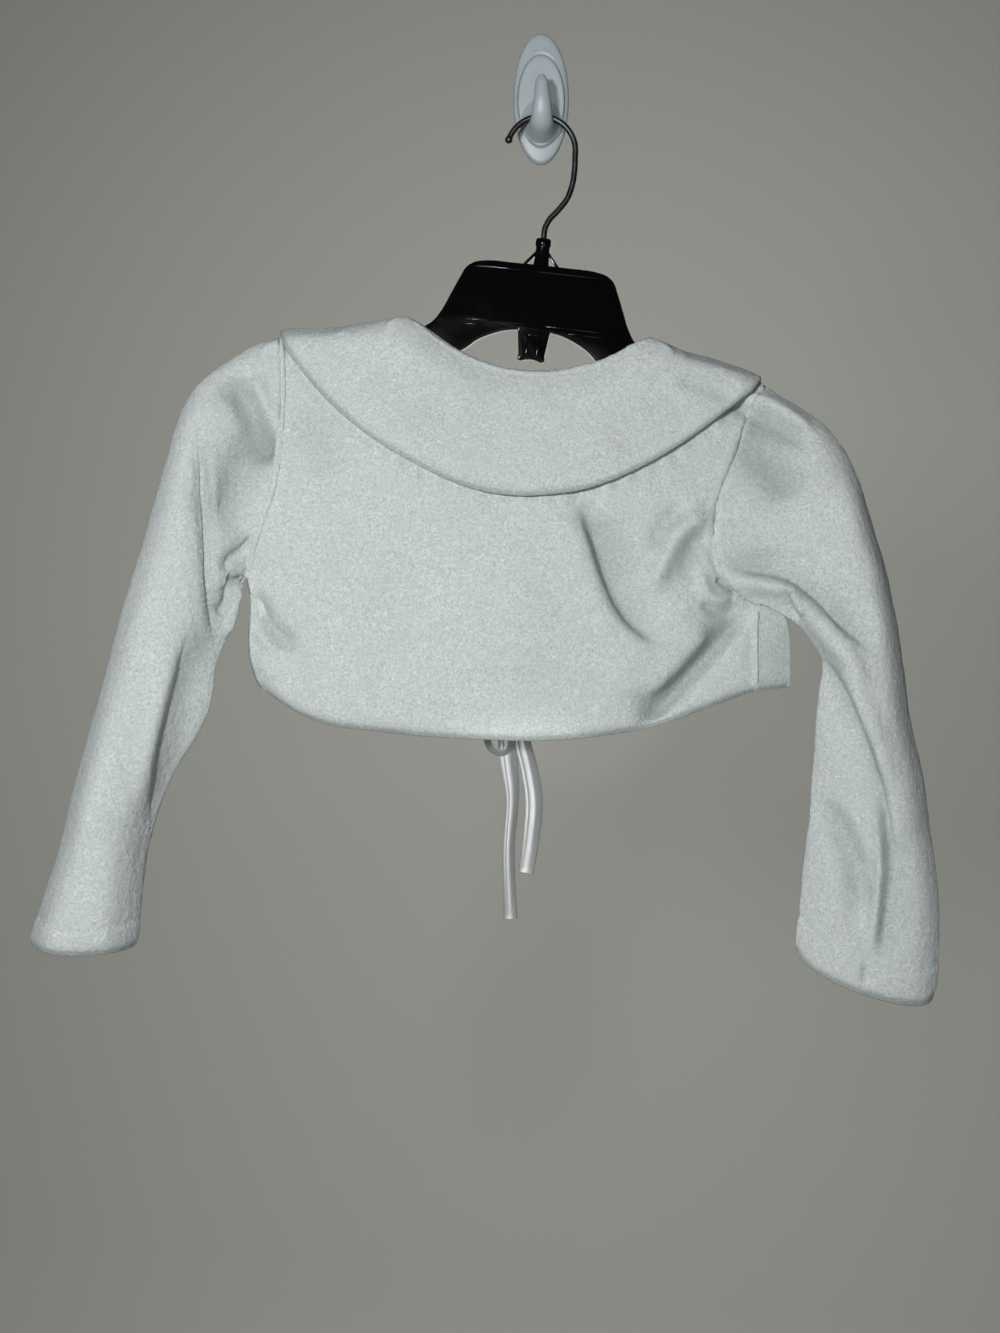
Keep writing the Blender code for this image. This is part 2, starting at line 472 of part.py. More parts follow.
def build_front(side):
    """One front panel: its outer points."""
    left = side == "left"
    seam, seam_normals = panel_side(side, "front")
    shoulder = SHOULDER_LEFT if left else SHOULDER_RIGHT
    neck = NECK_FRONT_LEFT if left else NECK_FRONT_RIGHT
    hem = HEM_FRONT_LEFT if left else HEM_FRONT_RIGHT
    away = -1.0 if left else 1.0
    edge = [(CENTRE_FRONT_X + away * offset, FRONT_Y, z) for offset, z in FRONT_EDGE]
    neck_line = smooth_line(neck + (edge[0],), even(FRONT_NECK_STEPS)**1.55)
    edge_line = smooth_line(edge, even(len(seam) - 1 - FRONT_NECK_STEPS))
    edge_line[:, 0] = CENTRE_FRONT_X + away * np.maximum(away * (edge_line[:, 0] - CENTRE_FRONT_X), 0)
    centre = np.vstack((neck_line, edge_line[1:]))
    s = np.array(FRONT_COLUMNS)
    top = smooth_line(shoulder, s)
    hem_knots = [(x, FRONT_Y, z) for x, z in hem] + [edge[-1]]
    bottom = smooth_line(hem_knots, s)

    grid = np.zeros((len(seam), len(s), 3))
    for row, drop in enumerate(row_drop(seam)):
        start, end = seam[row], centre[row]
        line = start + (end - start) * s[:, None]
        chord = bottom[0] + (bottom[-1] - bottom[0]) * s[:, None]
        line[:, (0, 2)] += drop**6 * (bottom - chord)[:, (0, 2)]
        fade = np.clip(1 - s / (2.2 * FRONT_TURN), 0, 1)**1.3
        line[:, 1] = end[1] + (start[1] - end[1]) * fade
        if not left:
            wrap = np.clip((-12.0 - start[1]) / 10.0, 0, 1)
            heights, turns = np.array(RIGHT_TURN).T
            turn_x = np.interp(start[2], heights, turns)
            rise = np.where(s < FRONT_TURN, np.sin(math.pi / 2 * s / FRONT_TURN),
                            (1 - s) / (1 - FRONT_TURN))
            straight = start[0] + (end[0] - start[0]) * FRONT_TURN
            line[:, 0] += wrap * (turn_x - straight) * rise
        grid[row] = line
    grid[0] = top

    normals = grid_normals(grid, False, np.array((0.0, 1.0, 0.0)))
    normals[:, 0] = seam_normals
    normals[0, 1:] = shoulder_normal(shoulder)
    outer = pull_in(grid, (True, False), (True, True), 0.8 * SEAM_GAP)
    cloth_wall("front_" + side, outer, outer - FLEECE * normals, False, "fleece")
    return outer


def build_sleeve(side, table, folds):
    """One sleeve: rings from the armhole seam to the cuff."""
    armhole = ARMHOLES[side]
    rows = np.array(table)
    middles = (rows[:, 0:3] + rows[:, 3:6]) / 2 + (rows[:, 0:3] - rows[:, 3:6]) / 4
    at = np.concatenate(([0.0], np.cumsum(np.linalg.norm(np.diff(middles, axis=0), axis=1))))
    slopes = np.gradient(rows, at, axis=0)
    wanted = even(SLEEVE_RINGS - 1) * at[-1]
    left = np.clip(np.searchsorted(at, wanted, side="right") - 1, 0, len(rows) - 2)
    span = (at[left + 1] - at[left])[:, None]
    u = (wanted - at[left])[:, None] / span
    sections = ((2 * u**3 - 3 * u**2 + 1) * rows[left] + (u**3 - 2 * u**2 + u) * span * slopes[left]
                + (-2 * u**3 + 3 * u**2) * rows[left + 1] + (u**3 - u**2) * span * slopes[left + 1])

    t = eased(ARMHOLE_STEPS)
    rings = [np.vstack((armhole.back, armhole.front[-2:0:-1]))]
    for section in sections:
        value = dict(zip(SLEEVE_COLUMNS, section))
        outer, inner = section[0:3], section[3:6]
        line = outer + (inner - outer) * t[:, None]
        round_depth = 4 * t * (1 - t)
        head = np.clip((np.linalg.norm(inner - outer) - 65.0) / 45.0, 0, 1) * (1 - t)
        beyond = np.clip((t - value["crease"]) / CREASE_WIDTH + 0.5, 0, 1)
        back = line.copy()
        kept = 1 - value["drop"] * beyond**2 * (3 - 2 * beyond)
        back[:, 1] -= value["back"] * kept * round_depth**(0.5 - 0.2 * head)
        back[:, 1] += fold_depth(back[:, 0], back[:, 2], folds) * np.sqrt(round_depth)
        front = line.copy()
        front[:, 1] += value["front"] * round_depth**(0.5 - 0.34 * head)
        ring = np.vstack((back, front[-2:0:-1]))
        middle_y = (outer[1] + inner[1]) / 2
        ring[:, 2] += value["lean"] * (ring[:, 1] - middle_y)
        rings.append(ring)
    grid = np.array(rings)

    centres = grid.mean(axis=1, keepdims=True)
    normals = grid_normals(grid, True, grid - centres)
    normals[0] = np.vstack((armhole.back_normals, armhole.front_normals[-2:0:-1]))
    outer = pull_in(grid, (True, False), (False, False), SEAM_GAP)
    cloth_wall("sleeve_" + side, outer, outer - FLEECE * normals, True, "fleece")


def along_edge(points, fractions):
    """Points at the given fractions of the length of a panel's edge."""
    at = row_drop(points)
    return np.stack([np.interp(fractions, at, points[:, axis]) for axis in range(3)], axis=1)


def surface(points):
    """A search tree over a grid of points, for laying cloth on it."""
    rows, columns = points.shape[:2]
    corners = [Vector(point) for point in points.reshape(-1, 3)]
    faces = []
    for row in range(rows - 1):
        for column in range(columns - 1):
            first = row * columns + column
            faces.append((first, first + 1, first + columns + 1, first + columns))
    return BVHTree.FromPolygons(corners, faces)


def lay_on(tree, x, z, viewer_y):
    """The point and outward normal where the cloth at x, z lies, seen from the side viewer_y."""
    towards = Vector((0.0, -math.copysign(1.0, viewer_y), 0.0))
    hit, normal, _, _ = tree.ray_cast(Vector((x, viewer_y, z)), towards)
    if hit is None:
        hit, normal, _, _ = tree.find_nearest(Vector((x, viewer_y / 20, z)))
    if normal.dot(towards) > 0:
        normal = -normal
    return np.array(hit), np.array(normal)


def collar_loop(points, normals):
    """The cross-section of the collar at one place: it lies on the panel and rolls over its neck edge."""
    top = COLLAR_LIFT + COLLAR_CLOTH
    up = unit(points[0] - points[1])
    neck, out = points[0], normals[0]
    under = [neck - COLLAR_ROLL * out + COLLAR_LIFT * up, neck + COLLAR_LIFT * (out + up)]
    under += [point + COLLAR_LIFT * normal for point, normal in zip(points[1:], normals[1:])]
    over = [point + top * normal for point, normal in zip(points[:0:-1], normals[:0:-1])]
    over += [neck + top * out, neck + 0.75 * top * out + 0.8 * top * up,
             neck + 0.1 * top * out + 1.15 * top * up, neck - COLLAR_ROLL * out + 0.9 * top * up]
    return under + over


def build_collar(back, fronts):
    """The flat collar, laid on the back and the fronts."""
    rows = np.array(COLLAR_ROWS)
    far = 1000.0
    loops = {}

    def station(neck, edge, tree, viewer_y):
        points = [neck]
        normals = []
        for row in rows[1:]:
            x = neck[0] + (edge[0] - neck[0]) * row
            z = neck[2] + (edge[1] - neck[2]) * row
            point, normal = lay_on(tree, x, z, viewer_y)
            points.append(point)
            normals.append(normal)
        return collar_loop(points, [normals[0]] + normals)

    def along_panel(line, normal, curl):
        points = smooth_line(line, rows * COLLAR_SHOULDER_REACH)
        points[:, 2] += curl * rows**2
        return collar_loop(list(points), [np.array(normal)] * len(points))

    back_tree = surface(back)
    inner = along_edge(back[0, SHOULDER_STEPS:-SHOULDER_STEPS], even(COLLAR_BACK_STATIONS + 1))[1:-1]
    outer = smooth_line(COLLAR_EDGE_BACK, even(COLLAR_BACK_STATIONS - 1))
    loops["back"] = [station(neck, edge, back_tree, -far) for neck, edge in zip(inner, outer)]
    for side in ("left", "right"):
        left = side == "left"
        shoulder = SHOULDER_LEFT if left else SHOULDER_RIGHT
        centre_x = CENTRE_FRONT_X + (-1.0 if left else 1.0)
        inner = along_edge(fronts[side][:FRONT_NECK_STEPS + 1, -1], even(COLLAR_FRONT_STATIONS)**0.9)[1:]
        start_x = shoulder[0][0] * 0.97
        start_z = shoulder[0][2]
        edge_knots = [(start_x + (centre_x - start_x) * across, start_z + (COLLAR_FRONT_Z - start_z) * drop)
                      for across, drop in COLLAR_EDGE_FRONT]
        outer = smooth_line(edge_knots, even(COLLAR_FRONT_STATIONS - 1))
        tree = surface(fronts[side])
        loops[side] = [station(neck, edge, tree, far) for neck, edge in zip(inner, outer)]
        up = shoulder_normal(shoulder)
        curl = COLLAR_CURL[side]
        towards_arm = back[:, SHOULDER_STEPS + 1::-1] if left else back[:, -SHOULDER_STEPS - 2:]
        back_row = np.vstack((towards_arm[:1, 0], towards_arm[1, 1:]))
        loops[side + "_back_row"] = [along_panel(back_row, unit(up + (0.0, -1.0, 0.0)), curl)]
        loops[side + "_seam"] = [along_panel(shoulder[::-1], up, curl)]
        loops[side + "_front_row"] = [along_panel(fronts[side][1, ::-1], unit(up + (0.0, 1.0, 0.0)), curl)]
    around = (loops["left"][::-1] + loops["left_front_row"] + loops["left_seam"] + loops["left_back_row"]
              + loops["back"] + loops["right_back_row"] + loops["right_seam"] + loops["right_front_row"]
              + loops["right"])
    loft("collar", around, "fleece")


def ribbon(name, route, y, width, across_y):
    """A flat satin strip with rounded edges along a route in x, z."""
    length = sum(math.dist(a, b) for a, b in zip(route, route[1:]))
    line = smooth_line(route, even(max(8, round(length / (1.7 * width)))))
    curve = bpy.data.curves.new(name, "CURVE")
    curve.dimensions = "3D"
    curve.twist_mode = "Z_UP"
    curve.bevel_depth = TIE_CLOTH / 2 * MM
    curve.bevel_resolution = 1
    curve.extrude = (width - TIE_CLOTH) / 2 * MM
    curve.use_fill_caps = True
    spline = curve.splines.new("POLY")
    spline.points.add(len(line) - 1)
    for point, (x, z) in zip(spline.points, line):
        # The strip is drawn lying in x, y and its object stands it up into x, z
        point.co = (x * MM, z * MM, 0.0, 1.0)
        if not across_y:
            point.tilt = math.pi / 2
            opened = min(1.0, (route[0][1] - z) / TIE_SPREAD)
            point.radius = TIE_PINCH + (1.0 - TIE_PINCH) * opened
    strip = add_object(name, curve, "satin")
    strip.rotation_euler = (math.pi / 2, 0.0, 0.0)
    strip.location = (0.0, y * MM, 0.0)
    return strip


def build_ties():
    """The bow: a knot, two loops and two free ends."""
    mesh = bmesh.new()
    bmesh.ops.create_cube(mesh, size=1.0)
    bmesh.ops.scale(mesh, vec=Vector(KNOT_SIZE) * MM, verts=mesh.verts)
    bmesh.ops.bevel(mesh, geom=mesh.edges, offset=1.6 * MM, segments=2, affect="EDGES", profile=0.5)
    knot = mesh_object("tie_knot", mesh, "satin")
    knot.location = Vector(KNOT_CENTRE) * MM
    ribbon("tie_end_left", TIE_END_LEFT, TIE_END_Y, TIE_WIDTH, False)
    ribbon("tie_end_right", TIE_END_RIGHT, TIE_END_Y, TIE_WIDTH, False)
    ribbon("tie_loop_left", TIE_LOOP_LEFT, TIE_LOOP_Y, TIE_LOOP_WIDTH, True)
    ribbon("tie_loop_right", TIE_LOOP_RIGHT, TIE_LOOP_Y, TIE_LOOP_WIDTH, True)


def prism(name, outline, depth):
    """A guide body: an outline in x, z, as deep as asked, about the plane y = 0."""
    mesh = bmesh.new()
    face = mesh.faces.new([mesh.verts.new((x * MM, -depth / 2 * MM, z * MM)) for x, z in outline])
    swept = bmesh.ops.extrude_face_region(mesh, geom=[face])["geom"]
    bmesh.ops.translate(mesh, vec=(0.0, depth * MM, 0.0),
                        verts=[item for item in swept if isinstance(item, bmesh.types.BMVert)])
    return mesh_object(name, mesh, "black_plastic")


def cylinder(name, radius, low, high, sides):
    """A guide body: an upright cylinder on the z axis."""
    mesh = bmesh.new()
    bmesh.ops.create_cone(mesh, cap_ends=True, segments=sides, radius1=radius * MM, radius2=radius * MM,
                          depth=(high - low) * MM)
    bmesh.ops.translate(mesh, vec=(0.0, 0.0, (low + high) / 2 * MM), verts=mesh.verts)
    return mesh_object(name, mesh, "black_plastic")


def combine(part, guide, operation):
    """Add or cut a guide body; the guide itself is not a piece."""
    guide.parent = part.parent
    guide.hide_render = True
    guide.display_type = "WIRE"
    step = part.modifiers.new(operation.lower(), "BOOLEAN")
    step.operation = operation
    step.solver = "EXACT"
    step.object = guide


def build_hanger():
    """The moulded hanger, rolled a little, with its wire hook."""
    seat = bpy.data.objects.new("hanger_seat", None)
    bpy.context.collection.objects.link(seat)
    seat.location = Vector(HANGER_PLACE) * MM
    seat.rotation_euler = (0.0, math.radians(HANGER_ROLL), 0.0)

    half = [(x, -drop) for x, drop in HANGER_OUTLINE]
    outline = half + [(-x, z) for x, z in reversed(half)]
    body = prism("hanger_body", outline, HANGER_DEPTH)
    mesh = bmesh.new()
    mesh.from_mesh(body.data)
    for side in (-1.0, 1.0):
        face = max(mesh.faces, key=lambda face: side * face.normal.y * face.calc_area())
        bmesh.ops.inset_region(mesh, faces=[face], thickness=HANGER_RIM * MM, use_even_offset=True)
        bmesh.ops.translate(mesh, vec=(0.0, -side * HANGER_RECESS * MM, 0.0), verts=face.verts)
    mesh.to_mesh(body.data)
    mesh.free()
    body.parent = seat
    length, depth, height, drop = LOWER_RIB
    rib = [(-length, -drop - height), (length, -drop - height), (length, -drop), (-length, -drop)]
    combine(body, prism("rib_guide", rib, depth), "UNION")
    combine(body, cylinder("socket_guide", SOCKET_RADIUS, -1.0, SOCKET_HEIGHT, 20), "UNION")
    for side in (-1.0, 1.0):
        strut = [(side * x, z) for x, z in GUSSET]
        combine(body, prism("gusset_guide", strut, GUSSET_DEPTH), "UNION")
    bore = cylinder("bore_guide", BORE_RADIUS, SOCKET_HEIGHT - BORE_DEPTH, SOCKET_HEIGHT + 1.0, 16)
    combine(body, bore, "DIFFERENCE")


def build_wire():
    """The hanger's hook: a round crook, a shank and a ball at its end."""
    angles = np.radians(np.linspace(CROOK_ANGLES[1], CROOK_ANGLES[0], CROOK_STEPS))
    crook = np.stack((CROOK_CENTRE[0] + CROOK_RADIUS * np.cos(angles),
                      CROOK_CENTRE[1] + CROOK_RADIUS * np.sin(angles)), axis=1)
    line = np.vstack((crook, smooth_line(SHANK, even(SHANK_STEPS))[1:]))
    curve = bpy.data.curves.new("hanger_hook", "CURVE")
    curve.dimensions = "3D"
    curve.bevel_depth = WIRE_RADIUS * MM
    curve.bevel_resolution = 2
    curve.use_fill_caps = True
    spline = curve.splines.new("POLY")
    spline.points.add(len(line) - 1)
    for index, (point, (x, z)) in enumerate(zip(spline.points, line)):
        point.co = (x * MM, HANGER_PLACE[1] * MM, z * MM, 1.0)
        point.radius = WIRE_BALL / WIRE_RADIUS if index == 0 else 1.0
    add_object("hanger_hook", curve, "steel_wire")


def build_wall_hook():
    """The wall hook: a stepped oval plate with a prong that turns up."""
    turn = 2 * math.pi * np.arange(HOOK_SIDES) / HOOK_SIDES
    loops = []
    for half_width, half_height, y, centre_z in HOOK_STEPS:
        loops.append(np.stack((half_width * np.cos(turn), np.full(HOOK_SIDES, y),
                               centre_z + half_height * np.sin(turn)), axis=1))
    plate = loft("wall_hook", loops, "white_plastic")

    sections = smooth_line(PRONG, even(PRONG_RINGS))
    along = unit(np.gradient(sections[:, :2], axis=0))
    turn = 2 * math.pi * np.arange(PRONG_SIDES) / PRONG_SIDES
    loops = []
    for (y, z, half_width, half_thick), (dy, dz) in zip(sections, along):
        loops.append(np.stack((half_width * np.cos(turn), y - dz * half_thick * np.sin(turn),
                               z + dy * half_thick * np.sin(turn)), axis=1))
    combine(plate, loft("prong_guide", loops, "white_plastic"), "UNION")


def main():
    for item in list(bpy.data.objects):
        bpy.data.objects.remove(item, do_unlink=True)
    back = build_back()
    fronts = {side: build_front(side) for side in ("left", "right")}
    build_sleeve("left", SLEEVE_LEFT, SLEEVE_LEFT_FOLDS)
    build_sleeve("right", SLEEVE_RIGHT, SLEEVE_RIGHT_FOLDS)
    build_collar(back, fronts)
    build_ties()
    build_hanger()
    build_wire()
    build_wall_hook()


main()
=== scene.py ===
"""Looks of a child's white fleece bolero on a black moulded hanger and an oval wall hook.

Tables are in millimetres and meshes in metres. +Z is up, and the picture is seen from -Y.
"""
import math

import bmesh
import bpy
import numpy as np
from mathutils import Matrix, Vector, kdtree, noise
from mathutils.bvhtree import BVHTree


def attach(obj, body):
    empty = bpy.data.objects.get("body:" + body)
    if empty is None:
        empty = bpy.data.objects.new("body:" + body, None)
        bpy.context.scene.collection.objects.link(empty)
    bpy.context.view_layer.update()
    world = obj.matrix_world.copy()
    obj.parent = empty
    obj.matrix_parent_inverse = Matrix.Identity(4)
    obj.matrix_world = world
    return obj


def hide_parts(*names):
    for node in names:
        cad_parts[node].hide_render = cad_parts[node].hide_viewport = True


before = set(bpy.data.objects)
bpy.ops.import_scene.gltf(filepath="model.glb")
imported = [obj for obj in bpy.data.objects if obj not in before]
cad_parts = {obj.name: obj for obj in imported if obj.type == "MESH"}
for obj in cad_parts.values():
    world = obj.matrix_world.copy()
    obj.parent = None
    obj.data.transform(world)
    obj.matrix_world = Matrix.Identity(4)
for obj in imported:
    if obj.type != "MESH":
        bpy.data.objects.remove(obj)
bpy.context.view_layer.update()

MM = 0.001

# Camera: place, and focal length for a 36 mm sensor on the long side of a 1000 x 1333 picture
CAMERA_PLACE = (-21.2, -930.0, -292.7)
CAMERA_LENS = 48.61
FLOOR_Z = -1500.0
BACKDROP_Y = 2600.0
SWEEP_RADIUS = 900.0
# Lamps: kind, place, aim, disc width in metres or spot cone in degrees, and watts
JACKET = (-20.0, -20.0, -240.0)
LAMPS = (("key_lamp", "AREA", (-335.0, -1090.0, -150.0), JACKET, 0.14, 8.5),
         ("front_lamp", "AREA", (150.0, -1050.0, -420.0), JACKET, 0.40, 0.9),
         ("top_lamp", "AREA", (100.0, -700.0, 1000.0), JACKET, 0.90, 0.3),
         ("rear_lamp", "AREA", (200.0, 1600.0, 300.0), JACKET, 1.20, 6.0),
         ("board_lamp", "AREA", (150.0, 700.0, 150.0), (150.0, 2600.0, -250.0), 2.00, 15.0),
         ("tie_spot", "SPOT", (-60.0, -900.0, -400.0), (-12.0, -2.0, -378.0), 8.0, 17.0),
         ("hook_spot", "SPOT", (-30.0, -950.0, -60.0), (0.0, -8.0, 2.0), 6.5, 9.0))

# Satin ties: width and thickness, with their routes x, z as hung
TIE_WIDTH = 7.0
TIE_CLOTH = 1.5
TIE_LOOP_WIDTH = 4.4
TIE_END_Y = -2.2
TIE_LOOP_Y = -5.4
TIE_LEAN = -0.8         # how far a loop's band slopes across its width
TIE_STEPS = 84
TIE_END_LEFT = ((-17.3, -301.5), (-18.4, -316.0), (-17.6, -331.0), (-16.8, -341.0), (-15.0, -358.5),
                (-16.7, -385.0), (-15.8, -422.5))
TIE_END_RIGHT = ((-12.7, -301.5), (-10.9, -316.0), (-9.6, -331.5), (-6.6, -344.0), (-3.8, -363.0),
                 (-5.0, -379.0), (-7.8, -398.8))
TIE_LOOP_LEFT = ((-18.6, -301.6), (-23.5, -311.0), (-27.6, -325.0), (-24.5, -335.0), (-19.0, -336.8),
                 (-15.2, -329.0), (-15.6, -314.0), (-15.8, -301.7))
TIE_LOOP_RIGHT = ((-14.2, -301.7), (-12.5, -309.0), (-8.5, -317.0), (-3.0, -322.0), (1.5, -319.5),
                  (0.5, -312.0), (-5.0, -304.5), (-10.1, -299.6))
# Section of a tie: place across it from -1 to 1, and height towards the viewer; and its width by z
TIE_FORM_LEFT = ((-1.0, 0.0), (-0.9, 1.4), (-0.6, 1.5), (-0.42, 0.2), (-0.26, 1.8), (0.1, 1.7), (0.55, 0.6),
                 (1.0, -0.6))
TIE_FORM_RIGHT = ((-1.0, 0.0), (-0.93, 1.0), (-0.74, 1.05), (-0.6, 0.1), (-0.45, 1.4), (0.15, 1.6), (0.5, 0.9),
                  (1.0, -0.5))
TIE_WIDE_LEFT = ((-422.5, 7.1), (-412.0, 6.5), (-378.0, 6.2), (-362.0, 6.9), (-350.0, 8.6), (-338.0, 10.0),
                 (-301.5, 5.0))
TIE_WIDE_RIGHT = ((-398.8, 8.0), (-382.0, 9.0), (-360.0, 9.4), (-335.0, 8.8), (-301.5, 5.0))
TIE_ROUND = 26.0        # length over which the pleats of a hanging end open out
TIE_LIP = 1.6           # length of the flared lip at a cut end
KNOT_CENTRE = (-15.0, -4.6, -297.0)
KNOT_HALF = (4.4, 2.9, 3.9)

# Moulded hanger: half outline x, drop below the plate's top
HANGER_PLACE = (-0.3, -14.0, -88.4)
HANGER_ROLL = 6.2
HANGER_DEPTH = 5.0
HANGER_ROUND = 0.6
HANGER_OUTER = ((0.0, 0.4), (14.0, 0.6), (28.0, 1.0), (33.5, 2.2), (37.6, 5.2), (40.4, 11.0), (44.0, 19.5),
                (47.8, 28.5), (51.8, 34.6), (57.0, 38.4), (64.0, 40.6), (95.0, 48.0), (125.0, 55.6),
                (141.0, 61.8), (149.5, 67.2), (155.0, 73.2), (155.3, 77.6), (151.5, 78.8), (138.0, 72.0),
                (121.0, 65.8), (95.0, 59.0), (64.0, 52.0), (45.0, 51.2), (38.5, 49.4), (33.4, 46.0),
                (28.0, 41.2), (20.9, 37.4), (13.7, 34.8), (8.3, 33.9))
HANGER_TAB = ((8.1, 35.5), (7.3, 42.0), (6.7, 46.6), (6.9, 49.0), (5.2, 49.6), (2.6, 48.7), (0.0, 48.4))
# Thin raised lines on both faces of the plate: x and drop of both ends, and width
HANGER_LINES = ((-32.5, 4.1, 32.5, 4.1, 0.8), (-36.0, 31.6, -5.2, 31.4, 0.7), (5.2, 31.4, 36.0, 31.6, 0.7),
                (-36.4, 34.1, -17.2, 33.9, 0.7), (17.2, 33.9, 36.4, 34.1, 0.7))
LINE_HIGH = 0.45
TAB_LINES = ((-2.7, 36.4, -2.7, 47.0, 0.8), (2.7, 36.4, 2.7, 47.0, 0.8), (-2.7, 36.4, 2.7, 36.4, 0.7))
SOCKET = ((4.3, -1.0), (3.8, 3.0), (3.6, 8.6), (3.8, 9.3), (4.1, 9.8), (4.1, 12.3), (3.7, 13.0),
          (2.2, 13.0), (1.75, 12.6), (1.75, 3.2))
GUSSET = ((2.6, 7.6), (2.6, 5.4), (7.4, -0.8), (9.6, -0.8))
GUSSET_DEPTH = 2.4

# Hook wire: x, z of its route, at the hanger's depth
WIRE_RADIUS = 1.5
WIRE_BALL = 2.0
CROOK_CENTRE = (-0.2, -30.2)
CROOK_RADIUS = 17.4
CROOK_ANGLES = (168.0, -4.0)
SHANK = ((17.1, -31.4), (16.9, -38.5), (15.8, -46.7), (12.9, -54.8), (8.2, -60.8), (3.8, -65.6),
         (1.6, -70.2), (1.1, -75.0), (0.15, -84.0))

# Wall hook: oval rings (half width, half height, y, z of centre), and the prong from its broad base to its
# tip (y, z, half width, half depth, and how far it has turned upwards in degrees)
HOOK_RINGS = ((14.4, 33.8, 0.0, 0.0), (14.4, 33.8, -1.0, 0.0), (14.25, 33.55, -1.7, 0.0),
              (13.9, 32.95, -2.4, -0.1), (13.5, 32.2, -2.85, -0.3), (13.1, 30.6, -3.0, -0.6),
              (12.6, 25.4, -3.7, -1.3), (12.4, 24.7, -3.75, -1.4), (12.15, 24.0, -3.2, -1.5),
              (12.0, 23.6, -3.9, -1.7), (11.85, 23.4, -4.8, -1.75), (11.55, 22.9, -5.2, -1.8),
              (11.1, 22.2, -5.35, -1.8), (10.2, 20.8, -5.35, -1.8), (5.0, 11.0, -5.25, -1.8))
PRONG = ((-4.6, -12.2, 11.2, 12.3, 0.0), (-6.0, -13.0, 9.7, 10.7, 0.0), (-8.0, -14.0, 8.4, 8.9, 4.0),
         (-11.0, -15.0, 7.1, 6.9, 12.0), (-14.4, -15.2, 6.2, 5.4, 30.0), (-17.4, -13.4, 5.4, 4.2, 55.0),
         (-19.6, -9.5, 4.8, 3.4, 75.0), (-20.6, -4.5, 4.1, 2.9, 86.0), (-20.5, 0.5, 3.4, 2.5, 92.0),
         (-20.1, 3.9, 2.9, 2.1, 95.0), (-19.9, 5.5, 1.9, 1.4, 95.0))

# Folds pressed into the cloth. Each row: its line x, z from top to bottom, half width on its left and on
# its right as seen, depth away from the viewer (minus is a ridge), and 1 for a sharp crease, 2 for a soft one.
# A rolled fold's narrow side turns over like the edge of a tube.
ROLLED = 0
SHOULDER_FOLD = (((80, -152), (92, -157.5), (104, -163), (112, -167), (122, -172), (138, -180)),
                 6.5, 3.5, 2.0, 1.7)
BACK_FOLDS = (
    SHOULDER_FOLD,
    (((-168, -66), (-128.7, -133.4), (-120.3, -148.2), (-105.5, -165.6), (-85.6, -181.9), (-60.8, -196.3),
      (-36.1, -204.7), (-8.8, -208.2), (18.4, -206.7), (43.2, -199.3), (68, -186.4), (87.8, -172),
      (100.2, -160.6), (160, -96)), 2.0, 4.0, 0.8, 1.5),
    (((82, -230), (85, -239), (88, -246.5), (93, -253), (100, -258), (106, -262), (114, -266)),
     1.4, 3.0, 0.9, 1.2),
    (((20, -208), (23, -220), (27, -233), (31, -246), (35, -258), (40, -266), (47, -273), (54, -277), (62, -278)),
     4.6, 9.0, 1.8, 1.7),
    (((16, -210), (19, -223), (23, -236), (28, -250), (34, -261), (41, -272), (49, -280), (59, -284)),
     8.0, 3.0, -1.6, 2),
    (((32, -217), (39, -236), (45, -252)), 10.0, 12.0, 0.8, 2),
    (((85, -214), (75, -221), (66, -229), (61, -238), (57, -248), (57, -258)), 4.5, 4.5, -2.0, 2),
    (((73, -212), (64, -218), (58, -226), (54, -236)), 4.0, 4.0, 1.3, 2),
    (((83, -224), (77, -230), (73, -240), (70, -252)), 5.0, 8.0, 0.9, 2),
    (((107, -261), (101, -268), (94, -276), (86, -286), (78, -295), (68, -305), (58, -315), (44, -324)),
     7.0, 2.2, 2.9, 1.25),
    (((85, -272), (73, -285), (62, -297), (48, -308)), 6.0, 5.0, -1.6, 2),
    (((105, -272), (97, -282), (85, -293), (74, -304)), 4.0, 8.0, -0.8, 2),
    (((81, -243), (80, -251), (85, -258), (96, -260)), 3.0, 3.0, -1.2, 2),
    (((87, -248), (92, -253), (99, -258)), 1.6, 1.6, 1.4, 1.2),
    (((79, -260), (90, -265), (100, -265)), 3.0, 2.0, 1.0, 2),
    (((-148, -254), (-144, -263), (-138, -273), (-131, -280), (-124, -287)), 2.6, 5.0, 2.0, 1.4),
    (((-145, -272), (-139, -280), (-131, -287)), 3.0, 3.0, -0.8, 2),
    (((-60, -232), (-70, -268), (-64, -300)), 16.0, 16.0, 1.2, 2),
    (((-20, -222), (-12, -262), (-18, -306)), 18.0, 18.0, -1.0, 2),
    (((-122, -160), (-110, -178), (-106, -200)), 9.0, 9.0, 0.8, 2))
